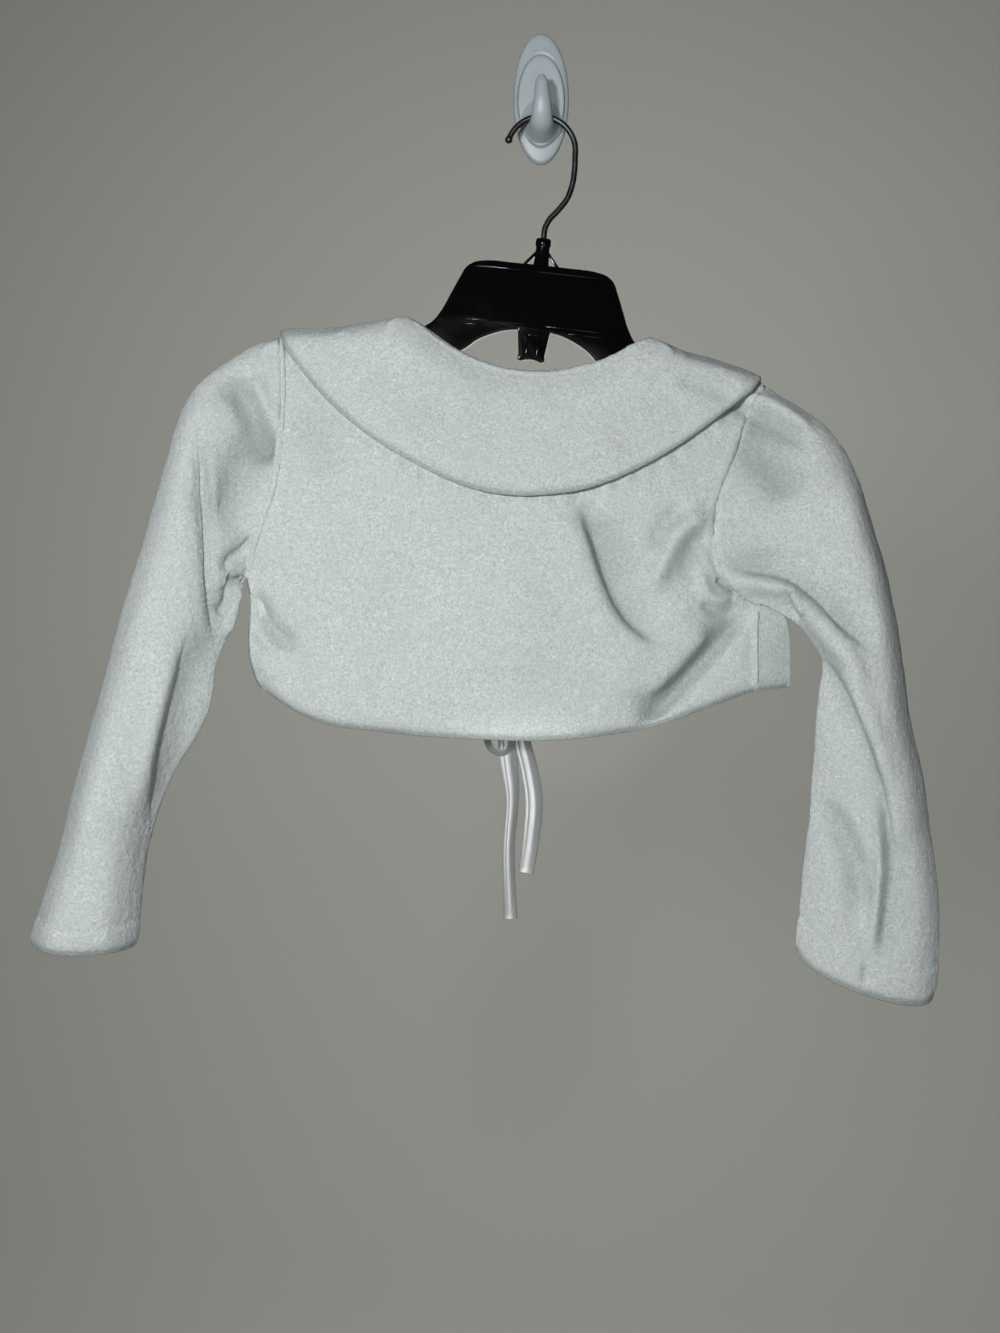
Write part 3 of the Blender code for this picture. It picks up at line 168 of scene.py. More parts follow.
SLEEVE_LEFT_FOLDS = (
    (((-173, -169), (-172, -187), (-171, -206), (-169, -230), (-168, -247), (-166, -269), (-165, -287)),
     5.0, 8.0, 1.6, ROLLED),
    (((-168, -179), (-165, -200), (-166, -217)), 4.0, 5.0, -1.2, 2),
    (((-158, -140), (-151, -155), (-145, -166), (-140, -178), (-136, -194)), 9.0, 4.0, 2.8, 1.6),
    (((-147, -146), (-141, -157), (-135, -173)), 3.0, 3.0, -1.7, 2),
    (((-161, -155), (-154, -165), (-149, -177)), 6.0, 4.0, -1.0, 2),
    (((-134, -172), (-146, -190), (-156, -209), (-163, -228)), 11.0, 9.0, 1.7, 2),
    (((-175, -271), (-179, -287), (-184, -309), (-188, -326), (-192, -341), (-195, -359), (-197, -378)),
     5.0, 6.0, 0.8, ROLLED),
    (((-181, -280), (-187, -304), (-194, -336), (-198, -364)), 5.0, 3.0, -0.8, 2),
    (((-145, -226), (-150, -234), (-156, -239), (-158, -247)), 2.6, 2.0, 1.3, 1.3),
    (((-158, -248), (-154, -249), (-150, -247)), 2.0, 1.8, 1.2, 1.3),
    (((-157, -250), (-158, -260), (-163, -268)), 2.6, 2.0, 1.3, 1.3),
    (((-151, -251), (-154, -263), (-160, -279)), 2.0, 2.0, -1.0, 2),
    (((-142, -132), (-135, -130), (-128, -133)), 2.2, 2.2, -0.9, 2),
    (((-210, -309), (-216, -344), (-225, -383)), 10.0, 9.0, -0.9, 2))
SLEEVE_RIGHT_FOLDS = (
    SHOULDER_FOLD,
    (((102, -157), (116, -160), (128, -168), (137, -175)), 3.5, 4.0, -1.4, 2),
    (((98, -170), (112, -188), (130, -208)), 11.5, 13.0, 2.2, 2),
    (((84, -242), (104, -245), (118, -247), (129, -254), (140, -264), (153, -276), (166, -288)),
     3.0, 8.0, 2.2, 1.5),
    (((91, -233), (114, -233), (134, -234), (146, -243), (157, -256)), 4.0, 6.0, -0.7, 2),
    (((90, -248), (104, -250), (120, -254), (130, -263), (140, -276), (152, -290), (160, -306)),
     4.5, 4.0, -1.6, 2),
    (((121, -253), (123, -260), (129, -269)), 2.0, 1.4, 1.8, 1.1),
    (((124, -254), (127, -261), (131, -267)), 2.0, 2.0, -0.8, 2),
    (((137, -283), (142, -292), (147, -300), (156, -322), (162, -336), (166, -352), (169, -366), (171, -378),
      (172, -394)), 3.8, 2.4, 2.2, 1.4),
    (((145, -289), (154, -309), (162, -331), (168, -354)), 3.0, 6.0, -1.4, 2),
    (((172, -372), (173, -393), (171, -415), (168, -440)), 3.6, 10.0, 1.3, 1.9),
    (((163, -354), (167, -374), (168, -391), (166, -413), (164, -436)), 3.5, 2.0, -1.8, 2),
    (((139, -356), (145, -367), (150, -377), (155, -389), (158, -404), (159, -420)), 5.0, 4.5, 1.6, 1.9),
    (((137, -371), (143, -387), (147, -406), (148, -428)), 8.0, 6.0, -0.6, 2),
    (((153, -359), (159, -374), (162, -391)), 4.0, 4.0, -0.8, 2),
    (((149, -194), (160, -230), (167, -260)), 10.0, 8.0, -0.8, 2),
    (((161, -439), (159, -451)), 1.5, 1.5, 1.0, 1.6))
COLLAR_FOLDS = (
    (((-86.0, -134.0), (-70.0, -150.0), (-40.0, -170.0)), 12.0, 14.0, 0.6, 2),
    (((70.0, -150.0), (58.0, -164.0), (30.0, -180.0)), 12.0, 14.0, 0.6, 2),
    (((66.0, -148.0), (82.0, -153.0), (98.0, -159.0)), 4.0, 6.0, 0.7, 1.6))
# Similar folds on the sides that the picture doesn't show: lines x, z as seen from the front of the wearer
FRONT_LEFT_FOLDS = (
    (((-136.0, -262.0), (-118.0, -282.0), (-100.0, -304.0)), 6.0, 6.0, 1.8, 1.6),
    (((-40.0, -240.0), (-30.0, -268.0), (-22.0, -290.0)), 6.0, 7.0, 1.5, 1.6),
    (((-60.0, -236.0), (-40.0, -270.0), (-24.0, -294.0)), 8.0, 8.0, -1.0, 2))
FRONT_RIGHT_FOLDS = (
    (((96.0, -262.0), (78.0, -282.0), (62.0, -304.0)), 6.0, 6.0, 1.8, 1.6),
    (((10.0, -240.0), (-2.0, -268.0), (-9.0, -290.0)), 7.0, 6.0, 1.5, 1.6),
    (((30.0, -236.0), (10.0, -270.0), (-6.0, -294.0)), 8.0, 8.0, -1.0, 2))
SLEEVE_LEFT_FRONT_FOLDS = (
    (((-150.0, -215.0), (-168.0, -236.0), (-192.0, -262.0)), 5.0, 6.0, 2.2, 1.5),
    (((-160.0, -240.0), (-184.0, -284.0), (-212.0, -310.0)), 6.0, 6.0, 1.8, 1.6),
    (((-186.0, -330.0), (-206.0, -352.0), (-230.0, -366.0)), 6.0, 6.0, 1.4, 1.8))
SLEEVE_RIGHT_FRONT_FOLDS = (
    (((120.0, -225.0), (138.0, -246.0), (162.0, -270.0)), 5.0, 6.0, 2.2, 1.5),
    (((140.0, -270.0), (154.0, -306.0), (178.0, -330.0)), 6.0, 6.0, 1.8, 1.6),
    (((142.0, -360.0), (160.0, -382.0), (184.0, -396.0)), 6.0, 6.0, 1.4, 1.8))

# Corners that are rounded by softening the cloth near them: x, z, reach and passes; and where a panel
# stands away from its solid: x, z, reach, and shift in x, y and z
SOFT_CORNERS = {"collar": ((-131.0, -125.0, 6.0, 16), (108.0, -147.0, 7.0, 24), (-70.5, -117.0, 7.0, 12),
                           (52.0, -128.5, 7.0, 12)),
                "front_right": ((124.5, -300.5, 7.0, 5),)}
SHIFTS = {"collar": ((92.0, -146.0, 26.0, 2.2, 0.0, 2.6), (108.5, -150.5, 4.5, 2.2, 0.0, -0.6),
                     (54.0, -129.0, 14.0, 0.0, 0.0, 2.2),
                     (-70.0, -117.0, 16.0, 1.2, 0.0, 1.8), (-131.0, -125.0, 16.0, -3.4, 0.0, 1.6),
                     (-134.0, -122.0, 3.0, 1.1, 0.0, -1.0)),
          "back": ((-133.0, -182.0, 16.0, 0.0, -0.6, 0.0), (99.0, -179.0, 10.0, 0.0, 1.4, 0.0)),
          "front_right": ((109.0, -284.0, 16.0, 0.0, -1.6, 0.0),),
          "sleeve_left": ((-146.0, -131.0, 14.0, -0.4, 0.0, 1.2),),
          "sleeve_right": ((104.0, -178.0, 12.0, 0.0, -0.8, 0.0),)}
# Top edge of the collar as seen, where the cloth rolls over the shoulders and the neck: x, z and radius
TOP_EDGE = ((-133.0, -122.0), (-100.0, -119.0), (-70.0, -116.0), (-52.0, -126.0), (-36.0, -133.5),
            (-4.0, -142.0), (29.0, -136.0), (54.0, -127.5), (82.0, -136.5), (110.0, -145.0))
TOP_ROLL = 6.0
ROLLED_NODES = ("collar", "back", "front_left", "front_right")

HEM_DEPTH = 12.5        # from a cuff's edge to its row of stitches
HEM_SWELL = 0.5         # how much the turned hem stands out
STITCH_LENGTH = 2.3
STITCH_PITCH = 3.2
STITCH_RADIUS = 0.22
SEAM_CLOSE = 0.80       # how far each edge moves to close a seam
SEAM_REACH = 0.6        # how near the next panel is along a seam
FLEECE = 2.2            # wall of one layer of fleece
COLLAR_CLOTH = 2.6      # wall of the collar, two layers pressed
NECK_MIDDLE = (-7.5, -14.0, -125.0)
OUTER, INNER, HEM, SEAM = 0, 1, 2, 3    # kinds of face on a cloth wall
EDGE_WIDE = 16.0        # width beside a rounded edge over which the cloth curls away
EDGE_FULL = 0.40        # share of its depth that the cloth keeps beside the edge
EDGE_REACH = 20.0       # cloth farther than this from an edge belongs to another layer
SLEEVE_REACH = 40.0     # the same in a sleeve, which has one layer on each side
EDGE_FADE = 7.0
HEM_WIDE = 5.0          # the same beside a hem
HEM_CURL = 2.0
COLLAR_CURL = -1.2      # the collar's edge stands off the back
BEAD_RADIUS = 1.2       # roll of cloth along a seam
BEAD_STEP = 1.6
# Seams with a bead: name, the height below which it runs, how far it stands out, and its shift in x
BEADS = {"sleeve_left": ("armhole_bead_left", 0.0, 0.6, 1.2),
         "sleeve_right": ("armhole_bead_right", 0.0, -0.5, 0.4),
         "front_right": ("side_bead_right", -262.0, 0.6, 0.9)}
LEFT_SEAM_X = -100.0    # seams left of this, and below the underarm, stand up as ridges
UNDERARM_Z = -258.0
SOFT_SHAPE = 1.35       # folds below this shape are sharp creases
CREASE_REACH = 3.5      # how far beside a sharp crease the cloth is finest
CREASE_STEPS = 60
FOLD_GAIN = 2.6         # pressed depth for one unit of depth in the fold tables
RIM_PAINTED_SHADE = 0.85       # strength of the painted shade along a rim, and over what width
RIM_WIDE = 1.1
PAINTED_SHADE_FULL = 9.0       # fold depth at which the painted shade in a trough is full
BROAD = 12.0            # half width from which a fold is too broad to get painted shade
FAR = 1000.0
CLOTH_NODES = ("back", "front_left", "front_right", "sleeve_left", "sleeve_right")


def linear(hex_colour):
    """An sRGB hex colour as linear RGBA."""
    shares = [int(hex_colour[i:i + 2], 16) / 255 for i in (1, 3, 5)]
    return tuple(s / 12.92 if s <= 0.04045 else ((s + 0.055) / 1.055) ** 2.4 for s in shares) + (1.0,)


def add(tree, kind, inputs=None, **settings):
    """Add a shader node with its settings; an input is a value or a (node, output) pair to link."""
    made = tree.nodes.new(kind)
    for name, value in settings.items():
        setattr(made, name, value)
    for name, value in (inputs or {}).items():
        if isinstance(value, tuple) and isinstance(value[0], bpy.types.Node):
            tree.links.new(value[0].outputs[value[1]], made.inputs[name])
        else:
            made.inputs[name].default_value = value
    return made


def start_material(name):
    """An empty node material with its output, and Object coordinates."""
    material = bpy.data.materials.new(name)
    material.use_nodes = True
    tree = material.node_tree
    tree.nodes.clear()
    place = add(tree, "ShaderNodeTexCoord")
    return material, tree, place


def finish_material(tree, shader):
    """Link a shader to the material's output."""
    add(tree, "ShaderNodeOutputMaterial", {"Surface": (shader, "BSDF")})


def polyester_fleece():
    """Knitted polyester brushed into a short nap: matt, grey-white, curled pale tips, with painted shade darkening
    its fold troughs and rims.
    """
    material, tree, place = start_material("polyester_fleece")
    tufts = add(tree, "ShaderNodeTexNoise", {"Vector": (place, "Object"), "Scale": 1 / (1.2 * MM),
                                             "Detail": 3.0, "Roughness": 0.6, "Distortion": 0.6})
    curls = add(tree, "ShaderNodeTexNoise", {"Vector": (place, "Object"), "Scale": 1 / (2.1 * MM),
                                             "Detail": 0.0, "Distortion": 1.6})
    away = add(tree, "ShaderNodeMath", {0: (curls, "Fac"), 1: 0.5}, operation="SUBTRACT")
    aside = add(tree, "ShaderNodeMath", {0: (away, "Value")}, operation="ABSOLUTE")
    strand = add(tree, "ShaderNodeMapRange", {"Value": (aside, "Value"), "From Min": 0.0, "From Max": 0.07,
                                              "To Min": 1.0, "To Max": 0.0})
    gaps = add(tree, "ShaderNodeTexNoise", {"Vector": (place, "Object"), "Scale": 1 / (2.6 * MM),
                                            "Detail": 1.0})
    kept = add(tree, "ShaderNodeMapRange", {"Value": (gaps, "Fac"), "From Min": 0.46, "From Max": 0.62})
    fibres = add(tree, "ShaderNodeMath", {0: (strand, "Result"), 1: (kept, "Result")}, operation="MULTIPLY")
    cloud = add(tree, "ShaderNodeTexNoise", {"Vector": (place, "Object"), "Scale": 1 / (16.0 * MM),
                                             "Detail": 2.0})
    depth = add(tree, "ShaderNodeMapRange", {"Value": (tufts, "Fac"), "From Min": 0.34, "From Max": 0.66})
    ground = add(tree, "ShaderNodeMix", {0: (depth, "Result"), 6: linear("#BCC6C4"), 7: linear("#E7EEEC")},
                 data_type="RGBA")
    shade = add(tree, "ShaderNodeMapRange", {"Value": (cloud, "Fac"), "From Min": 0.35, "From Max": 0.65,
                                             "To Min": 0.0, "To Max": 0.35})
    clouded = add(tree, "ShaderNodeMix", {0: (shade, "Result"), 6: (ground, 2), 7: linear("#CBD4D3")},
                  data_type="RGBA")
    tipped = add(tree, "ShaderNodeMix", {0: (fibres, "Value"), 6: (clouded, 2), 7: linear("#FBFDFC")},
                 data_type="RGBA")
    # Painted shade: multiplies the colour towards grey in fold troughs and along rims, as set in press_cloth's
    # vertex attribute.
    hollow = add(tree, "ShaderNodeAttribute", attribute_name="hollow")
    painted_darkening = add(tree, "ShaderNodeMix", {0: (hollow, "Fac"), 6: (tipped, 2), 7: linear("#C9CDCB")},
                  data_type="RGBA", blend_type="MULTIPLY")
    pile = add(tree, "ShaderNodeMath", {0: (tufts, "Fac"), 1: (fibres, "Value")}, operation="ADD")
    nap = add(tree, "ShaderNodeBump", {"Height": (pile, "Value"), "Strength": 0.5, "Distance": 0.5 * MM})
    matt = add(tree, "ShaderNodeMapRange", {"Value": (tufts, "Fac"), "To Min": 0.86, "To Max": 1.0})
    shader = add(tree, "ShaderNodeBsdfPrincipled", {
        "Base Color": (painted_darkening, 2), "Roughness": (matt, "Result"), "Normal": (nap, "Normal"),
        "Specular IOR Level": 0.12})
    finish_material(tree, shader)
    return material


def woven_satin():
    """Satin-woven polyester ribbon: long floating threads that give soft silvery bands along its length."""
    material, tree, place = start_material("woven_satin")
    along = add(tree, "ShaderNodeMapping", {"Vector": (place, "Object"), "Scale": (1.0, 1.0, 0.05)})
    threads = add(tree, "ShaderNodeTexNoise", {"Vector": (along, "Vector"), "Scale": 1 / (0.35 * MM),
                                               "Detail": 2.0})
    creased = add(tree, "ShaderNodeTexNoise", {"Vector": (place, "Object"), "Scale": 1 / (6.0 * MM),
                                               "Detail": 2.0})
    hue = add(tree, "ShaderNodeMix", {0: (threads, "Fac"), 6: linear("#6F7373"), 7: linear("#979B9A")},
              data_type="RGBA")
    gloss = add(tree, "ShaderNodeMapRange", {"Value": (creased, "Fac"), "To Min": 0.36, "To Max": 0.46})
    weave = add(tree, "ShaderNodeBump", {"Height": (threads, "Fac"), "Strength": 0.18, "Distance": 0.1 * MM})
    shader = add(tree, "ShaderNodeBsdfPrincipled", {
        "Base Color": (hue, 2), "Roughness": (gloss, "Result"), "Normal": (weave, "Normal"),
        "Specular IOR Level": 1.0})
    finish_material(tree, shader)
    return material


def black_polystyrene():
    """Injection-moulded polystyrene: deep black, glossy, with faint flow marks and dusty rubbed spots."""
    material, tree, place = start_material("black_polystyrene")
    flow = add(tree, "ShaderNodeTexNoise", {"Vector": (place, "Object"), "Scale": 1 / (22.0 * MM),
                                            "Detail": 3.0, "Distortion": 1.2})
    dust = add(tree, "ShaderNodeTexNoise", {"Vector": (place, "Object"), "Scale": 1 / (0.9 * MM),
                                            "Detail": 2.0})
    specks = add(tree, "ShaderNodeMapRange", {"Value": (dust, "Fac"), "From Min": 0.62, "From Max": 0.8,
                                              "To Min": 0.0, "To Max": 0.35})
    hue = add(tree, "ShaderNodeMix", {0: (specks, "Result"), 6: linear("#040405"), 7: linear("#151517")},
              data_type="RGBA")
    gloss = add(tree, "ShaderNodeMapRange", {"Value": (flow, "Fac"), "From Min": 0.3, "From Max": 0.7,
                                             "To Min": 0.09, "To Max": 0.17})
    skin = add(tree, "ShaderNodeBump", {"Height": (flow, "Fac"), "Strength": 0.03, "Distance": 0.4 * MM})
    shader = add(tree, "ShaderNodeBsdfPrincipled", {
        "Base Color": (hue, 2), "Roughness": (gloss, "Result"), "Normal": (skin, "Normal"), "IOR": 1.59,
        "Specular IOR Level": 0.2})
    finish_material(tree, shader)
    return material


def drawn_steel():
    """Drawn steel wire with a dark oxide skin: grey metal with fine die marks and duller patches."""
    material, tree, place = start_material("drawn_steel")
    patches = add(tree, "ShaderNodeTexNoise", {"Vector": (place, "Object"), "Scale": 1 / (5.0 * MM),
                                               "Detail": 4.0})
    marks = add(tree, "ShaderNodeTexNoise", {"Vector": (place, "Object"), "Scale": 1 / (0.5 * MM),
                                             "Detail": 2.0})
    hue = add(tree, "ShaderNodeMix", {0: (patches, "Fac"), 6: linear("#2C2D2E"), 7: linear("#58595B")},
              data_type="RGBA")
    gloss = add(tree, "ShaderNodeMapRange", {"Value": (patches, "Fac"), "To Min": 0.30, "To Max": 0.52})
    skin = add(tree, "ShaderNodeBump", {"Height": (marks, "Fac"), "Strength": 0.12, "Distance": 0.05 * MM})
    shader = add(tree, "ShaderNodeBsdfPrincipled", {
        "Base Color": (hue, 2), "Metallic": 1.0, "Roughness": (gloss, "Result"), "Normal": (skin, "Normal")})
    finish_material(tree, shader)
    return material


def white_abs():
    """Injection-moulded ABS: cool white, softly glossy, with the faint grain of its mould."""
    material, tree, place = start_material("white_abs")
    cloud = add(tree, "ShaderNodeTexNoise", {"Vector": (place, "Object"), "Scale": 1 / (16.0 * MM),
                                             "Detail": 2.0})
    grain = add(tree, "ShaderNodeTexNoise", {"Vector": (place, "Object"), "Scale": 1 / (0.8 * MM),
                                             "Detail": 2.0})
    hue = add(tree, "ShaderNodeMix", {0: (cloud, "Fac"), 6: linear("#8F999D"), 7: linear("#A1ABAF")},
              data_type="RGBA")
    gloss = add(tree, "ShaderNodeMapRange", {"Value": (cloud, "Fac"), "To Min": 0.38, "To Max": 0.50})
    skin = add(tree, "ShaderNodeBump", {"Height": (grain, "Fac"), "Strength": 0.05, "Distance": 0.08 * MM})
    shader = add(tree, "ShaderNodeBsdfPrincipled", {
        "Base Color": (hue, 2), "Roughness": (gloss, "Result"), "Normal": (skin, "Normal"), "IOR": 1.53})
    finish_material(tree, shader)
    return material


def painted_board(name, hex_colour):
    """Matt painted board for the floor and the backdrop."""
    material, tree, place = start_material(name)
    mottle = add(tree, "ShaderNodeTexNoise", {"Vector": (place, "Object"), "Scale": 3.0, "Detail": 3.0})
    gloss = add(tree, "ShaderNodeMapRange", {"Value": (mottle, "Fac"), "To Min": 0.85, "To Max": 0.95})
    shader = add(tree, "ShaderNodeBsdfPrincipled", {"Base Color": linear(hex_colour),
                                                    "Roughness": (gloss, "Result")})
    finish_material(tree, shader)
    return material


def smooth_line(knots, steps):
    """Evenly spaced points on a smooth curve through the knots."""
    knots = np.array(knots, float)
    reach = np.concatenate(([0.0], np.cumsum(np.linalg.norm(np.diff(knots, axis=0), axis=1))))
    slope = np.gradient(knots, reach, axis=0)
    at = np.linspace(0.0, reach[-1], steps + 1)
    span = np.clip(np.searchsorted(reach, at, side="right") - 1, 0, len(knots) - 2)
    wide = (reach[span + 1] - reach[span])[:, None]
    t = (at - reach[span])[:, None] / wide
    return ((2 * t**3 - 3 * t**2 + 1) * knots[span] + (t**3 - 2 * t**2 + t) * wide * slope[span]
            + (3 * t**2 - 2 * t**3) * knots[span + 1] + (t**3 - t**2) * wide * slope[span + 1])


def unit(vectors):
    """Vectors scaled to length 1."""
    return vectors / np.linalg.norm(vectors, axis=-1, keepdims=True)


def make_piece(name, mesh, material, nodes=(), sharp=None):
    """Turn a bmesh into a piece that rides on the part and stands for its CAD nodes."""
    data = bpy.data.meshes.new(name)
    mesh.to_mesh(data)
    mesh.free()
    data.polygons.foreach_set("use_smooth", [True] * len(data.polygons))
    if sharp:
        data.set_sharp_from_angle(angle=math.radians(sharp))
    data.materials.append(material)
    piece = bpy.data.objects.new(name, data)
    bpy.context.scene.collection.objects.link(piece)
    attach(piece, "root")
    if nodes:
        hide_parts(*nodes)
    return piece


def sweep(mesh, rings, capped=(True, True)):
    """Extrude a ring of vertices through rows of places in millimetres, and close its ends."""
    ring = bmesh.ops.create_circle(mesh, segments=len(rings[0]), radius=1.0)["verts"]
    edges = list({edge for vert in ring for edge in vert.link_edges})
    ends = [edges]
    for vert, place in zip(ring, rings[0]):
        vert.co = Vector(place) * MM
    for places in rings[1:]:
        grown = bmesh.ops.extrude_edge_only(mesh, edges=edges)["geom"]
        fresh = {item for item in grown if isinstance(item, bmesh.types.BMVert)}
        ring = [next(edge.other_vert(vert) for edge in vert.link_edges if edge.other_vert(vert) in fresh)
                for vert in ring]
        edges = [item for item in grown if isinstance(item, bmesh.types.BMEdge)
                 and item.verts[0] in fresh and item.verts[1] in fresh]
        for vert, place in zip(ring, places):
            vert.co = Vector(place) * MM
    ends.append(edges)
    for close, rim in zip(capped, ends):
        if close:
            bmesh.ops.holes_fill(mesh, edges=rim, sides=0)
    return ring


def plate(mesh, outline, depth):
    """A flat plate from its outline x, z in millimetres, standing half its depth each side of y = 0."""
    verts = [mesh.verts.new((x * MM, -depth / 2 * MM, z * MM)) for x, z in outline]
    face = mesh.faces.new(verts)
    grown = bmesh.ops.extrude_face_region(mesh, geom=[face])["geom"]
    moved = [item for item in grown if isinstance(item, bmesh.types.BMVert)]
    bmesh.ops.translate(mesh, vec=(0.0, depth * MM, 0.0), verts=moved)
    return verts + moved


def set_stage():
    """A pale sweep of floor and backdrop, soft lamps and the camera."""
    mesh = bmesh.new()
    turn = np.radians(np.linspace(-90.0, 0.0, 13))
    curve = [(BACKDROP_Y - SWEEP_RADIUS + SWEEP_RADIUS * math.cos(a),
              FLOOR_Z + SWEEP_RADIUS + SWEEP_RADIUS * math.sin(a)) for a in turn]
    profile = [(-3500.0, FLOOR_Z), *curve, (BACKDROP_Y, 2600.0)]
    verts = [mesh.verts.new((-4.5, y * MM, z * MM)) for y, z in profile]
    edges = [mesh.edges.new(pair) for pair in zip(verts, verts[1:])]
    grown = bmesh.ops.extrude_edge_only(mesh, edges=edges)["geom"]
    moved = [item for item in grown if isinstance(item, bmesh.types.BMVert)]
    bmesh.ops.translate(mesh, vec=(9.0, 0.0, 0.0), verts=moved)
    bmesh.ops.recalc_face_normals(mesh, faces=mesh.faces)
    data = bpy.data.meshes.new("studio_sweep")
    mesh.to_mesh(data)
    mesh.free()
    data.polygons.foreach_set("use_smooth", [True] * len(data.polygons))
    data.materials.append(painted_board("pale_board", "#CDCEC6"))
    sweep_object = bpy.data.objects.new("studio_sweep", data)
    bpy.context.scene.collection.objects.link(sweep_object)

    for name, kind, place, aim, size, power in LAMPS:
        lamp = bpy.data.lights.new(name, kind)
        lamp.energy = power
        if kind == "AREA":
            lamp.shape = "DISK"
            lamp.size = size
        else:
            lamp.spot_size = math.radians(size)
            lamp.spot_blend = 0.6
            lamp.shadow_soft_size = 0.02
        holder = bpy.data.objects.new(name, lamp)
        bpy.context.scene.collection.objects.link(holder)
        holder.location = Vector(place) * MM
        way = (Vector(aim) - Vector(place)) * MM
        holder.rotation_euler = way.to_track_quat("-Z", "Y").to_euler()
    world = bpy.data.worlds.new("studio_air")
    world.use_nodes = True
    air = world.node_tree.nodes["Background"]
    air.inputs["Color"].default_value = linear("#E4E6E8")
    air.inputs["Strength"].default_value = 0.07
    bpy.context.scene.world = world
    bpy.context.scene.view_settings.view_transform = "Standard"

    lens = bpy.data.cameras.new("picture_camera")
    lens.sensor_width = 36.0
    lens.lens = CAMERA_LENS
    lens.clip_start = 0.01
    camera = bpy.data.objects.new("picture_camera", lens)
    bpy.context.scene.collection.objects.link(camera)
    camera.location = Vector(CAMERA_PLACE) * MM
    camera.rotation_euler = (math.radians(90.0), 0.0, 0.0)
    bpy.context.scene.camera = camera


def tie_rings(route, y, form, widths):
    """Rings of a flattened satin tube along a route: a pleated hanging end, or a loop's plain band."""
    line = smooth_line(route, TIE_STEPS)
    along = unit(np.gradient(line, axis=0))
    reach = np.concatenate(([0.0], np.cumsum(np.linalg.norm(np.diff(line, axis=0), axis=1))))
    turn = 2 * math.pi * np.arange(48) / 48
    across, thick = np.cos(turn), np.sin(turn)
    flat = TIE_CLOTH / 2 * np.sign(thick) * np.abs(thick) ** 0.7
    if form:
        pleat = np.array(smooth_line(form, 120))
        pleated = np.interp(across, pleat[:, 0], pleat[:, 1])
        heights, wides = np.array(widths).T
    rings, path = [], []
    for (x, z), (dx, dz), run in zip(line, along, reach):
        if form:
            left = reach[-1] - run
            open_out = max(0.0, 1.0 - left / TIE_ROUND)
            lip = max(0.0, 1.0 - left / TIE_LIP)
            lift = (1.0 - open_out) * pleated + open_out * np.sqrt(1.0 - across**2) + 0.2 * lip
            wide = across * np.interp(z, heights, wides) / 2 * (1.0 + 0.06 * lip)
            ring = np.stack((x - dz * wide, y + flat - lift, z + dx * wide), axis=1)
        else:
            wide = across * TIE_LOOP_WIDTH / 2
            out = flat * 0.7 + TIE_LEAN * (across + 0.4) * TIE_LOOP_WIDTH / 2
            ring = np.stack((x - dz * out, y + wide, z + dx * out), axis=1)
        rings.append(ring)
        path.append((x * MM, y * MM, z * MM))
    return rings, path, reach[-1] * MM


def make_ties(satin):
    """The bow: two free ends, two loops, the knot over them and the frayed threads."""
    knot = make_knot(satin)
    fray = make_fray(satin)
    hang = {"far_end": "bare", "lay": "hanging", "diameter": TIE_WIDTH * MM}
    loop = {"far_end": "object", "lay": "loose", "diameter": TIE_LOOP_WIDTH * MM}
    rows = (("tie_end_left", TIE_END_LEFT, TIE_END_Y, TIE_FORM_LEFT, TIE_WIDE_LEFT, hang, ()),
            ("tie_end_right", TIE_END_RIGHT, TIE_END_Y, TIE_FORM_RIGHT, TIE_WIDE_RIGHT, hang, (fray,)),
            ("tie_loop_left", TIE_LOOP_LEFT, TIE_LOOP_Y, None, None, loop, (knot,)),
            ("tie_loop_right", TIE_LOOP_RIGHT, TIE_LOOP_Y, None, None, loop, ()))
    for node, route, y, form, widths, ways, others in rows:
        rings, path, length = tie_rings(route, y, form, widths)
        mesh = bmesh.new()
        sweep(mesh, rings)
        bmesh.ops.recalc_face_normals(mesh, faces=mesh.faces)
        tie = make_piece("satin_" + node, mesh, satin, (node,), sharp=70)


def make_knot(satin):
    """The knot: a pillow of gathered satin with a band drawn round it."""
    mesh = bmesh.new()
    bmesh.ops.create_uvsphere(mesh, u_segments=32, v_segments=20, radius=1.0)
    centre = Vector(KNOT_CENTRE)
    for vert in mesh.verts:
        x, y, z = vert.co
        gather = 0.06 * math.sin(9.0 * x + 3.0 * z) * (1.0 - x * x)
        vert.co = Vector((x, y, z)) * (1.0 + gather)
    bmesh.ops.scale(mesh, vec=Vector(KNOT_HALF) * MM, verts=mesh.verts)
    bmesh.ops.translate(mesh, vec=centre * MM, verts=mesh.verts)
    turn = 2 * math.pi * np.arange(16) / 16
    rings = []
    for angle in np.linspace(0.0, 2 * math.pi, 33):
        wide = 2.4 * np.cos(turn)
        deep = 1.0 + 0.07 * np.sin(turn) + 0.03 * np.cos(3 * turn)
        rings.append(np.stack((centre.x + wide + 0.4 * math.sin(angle),
                               centre.y + KNOT_HALF[1] * deep * math.cos(angle),
                               centre.z + KNOT_HALF[2] * deep * math.sin(angle)), axis=1))
    sweep(mesh, rings, capped=(False, False))
    bmesh.ops.remove_doubles(mesh, verts=mesh.verts, dist=0.01 * MM)
    bmesh.ops.recalc_face_normals(mesh, faces=mesh.faces)
    return make_piece("satin_knot", mesh, satin, ("tie_knot",))


